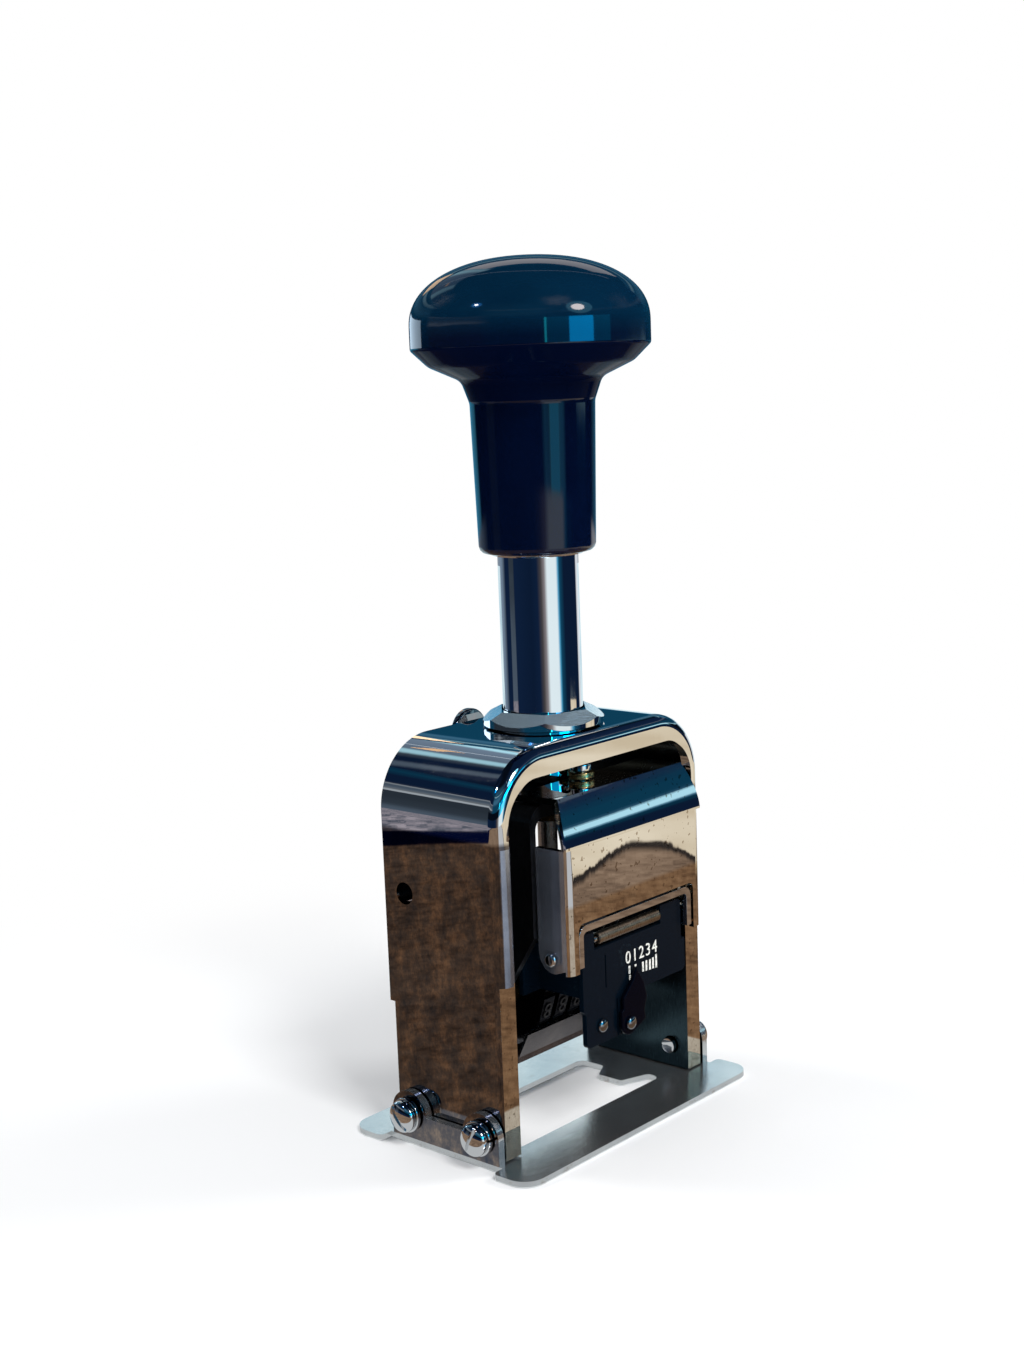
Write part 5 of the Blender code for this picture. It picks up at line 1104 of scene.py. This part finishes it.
def make_floor_card():
    """A wooden table that only gloss sees, with a pale cloth right in front and dark behind."""
    reach, top, under = WALL_RADIUS + 0.01, 0.0003, 0.0002
    profile = [(0.0, top), (reach, top), (reach, under), (0.0, under)]
    table = new_object("card_table", turned(profile, steps=96, unit=1))
    card = Card("card_wood")
    grain = card.plus(card.times(card.noise(240, 6, 0.6), 0.6), card.times(card.noise(24, 3, 0.5), 0.4))
    browns = [(0.38, (0.13, 0.085, 0.058)), (0.50, (0.24, 0.160, 0.108)), (0.64, (0.34, 0.235, 0.160))]
    wood = card.ramp(grain, browns)
    cloth = card.ramp(card.noise(22, 5, 0.5), [(0.35, (0.70, 0.58, 0.41)), (0.65, (0.88, 0.77, 0.59))])
    haze = card.ramp(card.noise(130, 4, 0.7), [(0.40, (0.09, 0.10, 0.13)), (0.62, (0.38, 0.34, 0.38))])
    # The cloth's edge, with a bulge of table in its middle
    off_middle = card.absolute(card.plus(card.along(0.61, 0.79), 0.015))
    bulge = card.scaled(card.smooth(off_middle, 0.004, 0.025), -0.043, 0.226)
    past_edge = card.math("SUBTRACT", card.along(0.79, -0.61), bulge)
    past_edge = card.plus(past_edge, card.scaled(card.noise(60, 4, 0.5), 0.012, -0.006))
    front = card.smooth(past_edge, 0.0, 0.004)
    rim = card.math("SUBTRACT", card.smooth(past_edge, -0.012, -0.003), front)
    away, radius, share = card.along(-0.73, 0.68), card.radius(), card.share()
    wedge = card.times(card.band(share, 0.650, 0.664, 0.800, 0.812), card.smooth(radius, 0.100, 0.112))
    colour = card.mix(card.smooth(away, 0.248, 0.251), wood, (0.001, 0.003, 0.022))
    colour = card.mix(card.smooth(away, 0.268, 0.272), colour, haze)
    colour = card.mix(wedge, colour, (0.56, 0.57, 0.59))
    colour = card.mix(rim, colour, (0.030, 0.024, 0.022))
    colour = card.mix(front, colour, cloth)
    # Close in, the plate's edges look at something pale; far out, the wall's stripes run on
    beside_x = card.math("SUBTRACT", card.absolute(card.x), 0.0353)
    beside_y = card.math("SUBTRACT", card.absolute(card.y), 0.0225)
    near = card.smooth(card.math("MAXIMUM", beside_x, beside_y), 0.0085, 0.0075)
    colour = card.mix(near, colour, (0.55, 0.57, 0.58))
    outer = card.times(card.smooth(radius, 0.372, 0.380), card.striped(share))
    card.finish(card.mix(outer, colour, card.ramp(share, STRIPES)), table)


def bent_wall(bm, stations, low, high, radius):
    """Faces round the machine, through (angle in degrees, lift). Returns their corners, pair by pair."""
    rows = []
    for angle, lift in stations:
        x, y = radius * math.cos(math.radians(angle)), radius * math.sin(math.radians(angle))
        rows.append([bm.verts.new((x, y, z + lift)) for z in (low, high)])
    for one, other in zip(rows, rows[1:]):
        bm.faces.new((one[0], other[0], other[1], one[1]))
    return rows


def make_wall_card():
    """A closed round room that only gloss sees: bands of dark, white and blue."""
    steps = 96
    room = bmesh.new()
    rows = bent_wall(room, [(360 * k / steps, 0.0) for k in range(steps)], 0.0004, 1.0, WALL_RADIUS)
    room.faces.new((rows[-1][0], rows[0][0], rows[0][1], rows[-1][1]))
    room.faces.new([row[1] for row in rows])
    wall = new_object("card_wall", room)
    card = Card("card_room")
    wave = card.scaled(card.noise(5, 3, 0.5), 0.024, -0.012)
    wave = card.plus(wave, card.scaled(card.noise(3, 3, 0.6, (1, 1, 16)), 0.044, -0.022))
    height, share = card.plus(card.z, wave), card.share()
    left, back, front = (card.ramp(height, bands) for bands in (LEFT_BANDS, BACK_BANDS, FRONT_BANDS))
    bands = card.mix(card.band(share, 0.30, 0.325, 0.47, 0.52), back, left)
    bands = card.mix(card.smooth(share, 0.60, 0.70), bands, front)
    high_up = card.band(card.z, 0.396, 0.404, 0.610, 0.640)
    high_up = card.times(high_up, card.rest(card.smooth(share, 0.40, 0.42)))
    bands = card.mix(high_up, bands, card.ramp(share, HIGH_STRIPES))
    stem = card.smooth(card.z, STRIPE_TOP - 0.004, STRIPE_TOP + 0.004)
    stripes = card.mix(stem, card.ramp(share, STRIPES), card.ramp(share, STEM_STRIPES))
    # The shoulder's own bands begin lower on the left, where the plunger shows dark anyway
    low = card.rest(card.smooth(card.z, STEM_TOP - 0.006, STEM_TOP + 0.006))
    card.finish(card.mix(card.times(low, card.striped(share)), bands, stripes), wall)


def wall_pane(name, start, end, low, high, radius=WALL_RADIUS - 0.01, steps=12, rise=lambda angle: 0.0):
    """A bent pane in front of the round wall between two azimuths, in degrees."""
    pane = bmesh.new()
    angles = [start + (end - start) * k / steps for k in range(steps + 1)]
    bent_wall(pane, [(angle, rise(angle)) for angle in angles], low, high, radius)
    return new_object(name, pane)


def make_window_cards():
    """Panes of soft light that the knob, the collar and the base plate catch."""
    panes = [
        ("card_pane_line", 234, 236, 0.142, 0.200, (0.02, 0.75, 1.0), 4.0),
        ("card_pane_right", 257, 281, 0.146, 0.200, (0.0, 0.41, 1.0), 7.5),
        ("card_pane_stem", 251, 268, 0.070, 0.138, (0.08, 0.62, 1.0), 1.7),
        ("card_pane_teal_left", 236.5, 256.5, 0.142, 0.200, (0.0, 0.45, 0.90), 0.7),
        ("card_pane_teal_right", 281.5, 300, 0.142, 0.200, (0.0, 0.45, 0.90), 0.9),
        ("card_pane_behind", 62, 98, 0.145, 0.200, (0.60, 0.78, 0.95), 2.2),
        ("card_pane_warm", 56, 68, 0.300, 0.372, (1.0, 0.70, 0.45), 1.6),
        ("card_pane_spot", 74, 80, 0.498, 0.518, (1.0, 0.62, 0.35), 0.9),
        ("card_pane_crest", 14, 55, 0.402, 0.560, (0.85, 0.80, 0.80), 0.9),
    ]
    for name, start, end, low, high, colour, strength in panes:
        pane = wall_pane(name, start, end, low, high)
        reflection_only(pane, flat_material(name + "_light", colour, strength))
    crest, droop, middle, reach = 0.95, 0.40, 38, 32
    bow = wall_pane(
        "card_pane_arc", 4, 74, 0.0, 0.022, steps=24,
        rise=lambda angle: crest - droop * ((angle - middle) / reach) ** 2,
    )
    reflection_only(bow, flat_material("card_pane_arc_light", (0.55, 0.62, 0.70), 1.2))
    sky = wall_pane("card_low_sky", 2, 84, 0.022, 0.090, radius=0.16)
    card = Card("card_low_sky_light")
    cloud = [(0.36, (0.42, 0.60, 0.72)), (0.52, (0.76, 0.95, 1.0)), (0.66, (1.0, 1.0, 1.0))]
    card.finish(card.ramp(card.noise(60, 5, 0.5), cloud), sky)
    bulbs = [
        ("card_bulb_left", 165, 0.378, 0.33, 0.013, (0.90, 0.92, 1.0), 40.0),
        ("card_glow_left", 165, 0.432, 0.41, 0.042, (0.0, 0.30, 1.0), 3.4),
        ("card_bulb_right", 268, 0.288, 0.32, 0.038, (1.0, 0.90, 0.88), 14.0),
        ("card_glow_right", 270, 0.324, 0.41, 0.095, (0.20, 0.60, 0.80), 1.8),
    ]
    for name, angle, height, away, size, colour, strength in bulbs:
        ball = bmesh.new()
        turn = math.radians(angle)
        place = (away * math.cos(turn), away * math.sin(turn), height)
        bmesh.ops.create_uvsphere(ball, u_segments=24, v_segments=12, radius=size)
        bmesh.ops.translate(ball, verts=ball.verts, vec=place)
        reflection_only(new_object(name, ball), flat_material(name + "_light", colour, strength))


def area_lamp(name, place, target, size, power):
    light = bpy.data.lights.new(name, "AREA")
    light.shape = "RECTANGLE"
    light.size = size
    light.size_y = size
    light.energy = power
    made = linked(name, light)
    made.location = place
    made.rotation_euler = (Vector(target) - Vector(place)).to_track_quat("-Z", "Y").to_euler()


def floor_material():
    """Pale and plain, with its shadow near the machine and pure white beyond, as the photograph's paper."""
    pale = Shader("floor_pale", (0.93, 0.93, 0.93), 0.9)
    pale.set("Specular IOR Level", 0.1)
    length = pale.add("ShaderNodeVectorMath")
    length.operation = "LENGTH"
    pale.link(pale.place, length.inputs[0])
    far = pale.smooth(length.outputs["Value"], 0.07, 0.20)
    seen = pale.math("MULTIPLY", far, pale.add("ShaderNodeLightPath").outputs["Is Camera Ray"])
    pale.blend(seen, pale.out, pale.add("ShaderNodeEmission"), pale.tree.nodes["Material Output"])
    return pale.material


def make_studio():
    floor = new_object("floor", block((-4, -4, -0.02), (4, 4, -0.00005), unit=1))
    floor.data.materials.append(floor_material())

    world = bpy.data.worlds.new("studio")
    world.use_nodes = True
    bpy.context.scene.world = world
    world.node_tree.nodes.clear()
    sky = Nodes(world.node_tree)
    rays = sky.add("ShaderNodeLightPath").outputs
    seen = sky.math("MAXIMUM", rays["Is Camera Ray"], rays["Is Glossy Ray"])
    seen = sky.math("MAXIMUM", seen, rays["Is Transmission Ray"])
    soft = sky.add("ShaderNodeBackground", Color=(0.95, 0.97, 1.0, 1), Strength=0.55)
    white = sky.add("ShaderNodeBackground", Color=(1, 1, 1, 1), Strength=1.0)
    sky.blend(seen, soft, white, sky.add("ShaderNodeOutputWorld"))

    area_lamp("key", (-0.25, -0.75, 0.85), (0, 0, 0.07), 0.35, 7.0)
    area_lamp("fill", (0.7, -0.5, 0.55), (0, 0, 0.07), 0.30, 3.0)
    area_lamp("back", (-0.3, 0.8, 0.7), (0, 0, 0.08), 0.30, 3.0)


def make_camera():
    """The photograph's camera, as fitted to the base plate, the arch and the knob."""
    yaw, pitch, roll = 0.8398, 0.1662, -0.0384
    ahead = Vector((math.sin(yaw) * math.cos(pitch), math.cos(yaw) * math.cos(pitch), -math.sin(pitch)))
    right = ahead.cross(Vector((0, 0, 1))).normalized()
    up = right.cross(ahead)
    turned_right = math.cos(roll) * right + math.sin(roll) * up
    turned_up = -math.sin(roll) * right + math.cos(roll) * up
    data = bpy.data.cameras.new("camera")
    data.sensor_width = 36.0
    data.sensor_fit = "AUTO"
    data.lens = 48.73
    data.shift_x = 0.0017
    data.shift_y = 0.0013
    data.clip_start = 0.01
    made = linked("camera", data)
    basis = Matrix((turned_right, turned_up, -ahead)).transposed()
    made.matrix_world = Matrix.Translation((-0.2613, -0.2260, 0.1415)) @ basis.to_4x4()
    bpy.context.scene.camera = made
    bpy.context.scene.view_settings.view_transform = "Standard"


make_knob()
make_plunger()
make_collar()
make_outer_frame()
make_lock_button()
make_base()
make_base_screws()
make_cover()
make_cover_screw()
make_bail()
make_setting_plate()
make_roller()
make_pointer()
make_plate_figures()
make_wheel_figures()
make_pad()
make_spring()
dress_nodes()
make_floor_card()
make_wall_card()
make_window_cards()
make_studio()
make_camera()
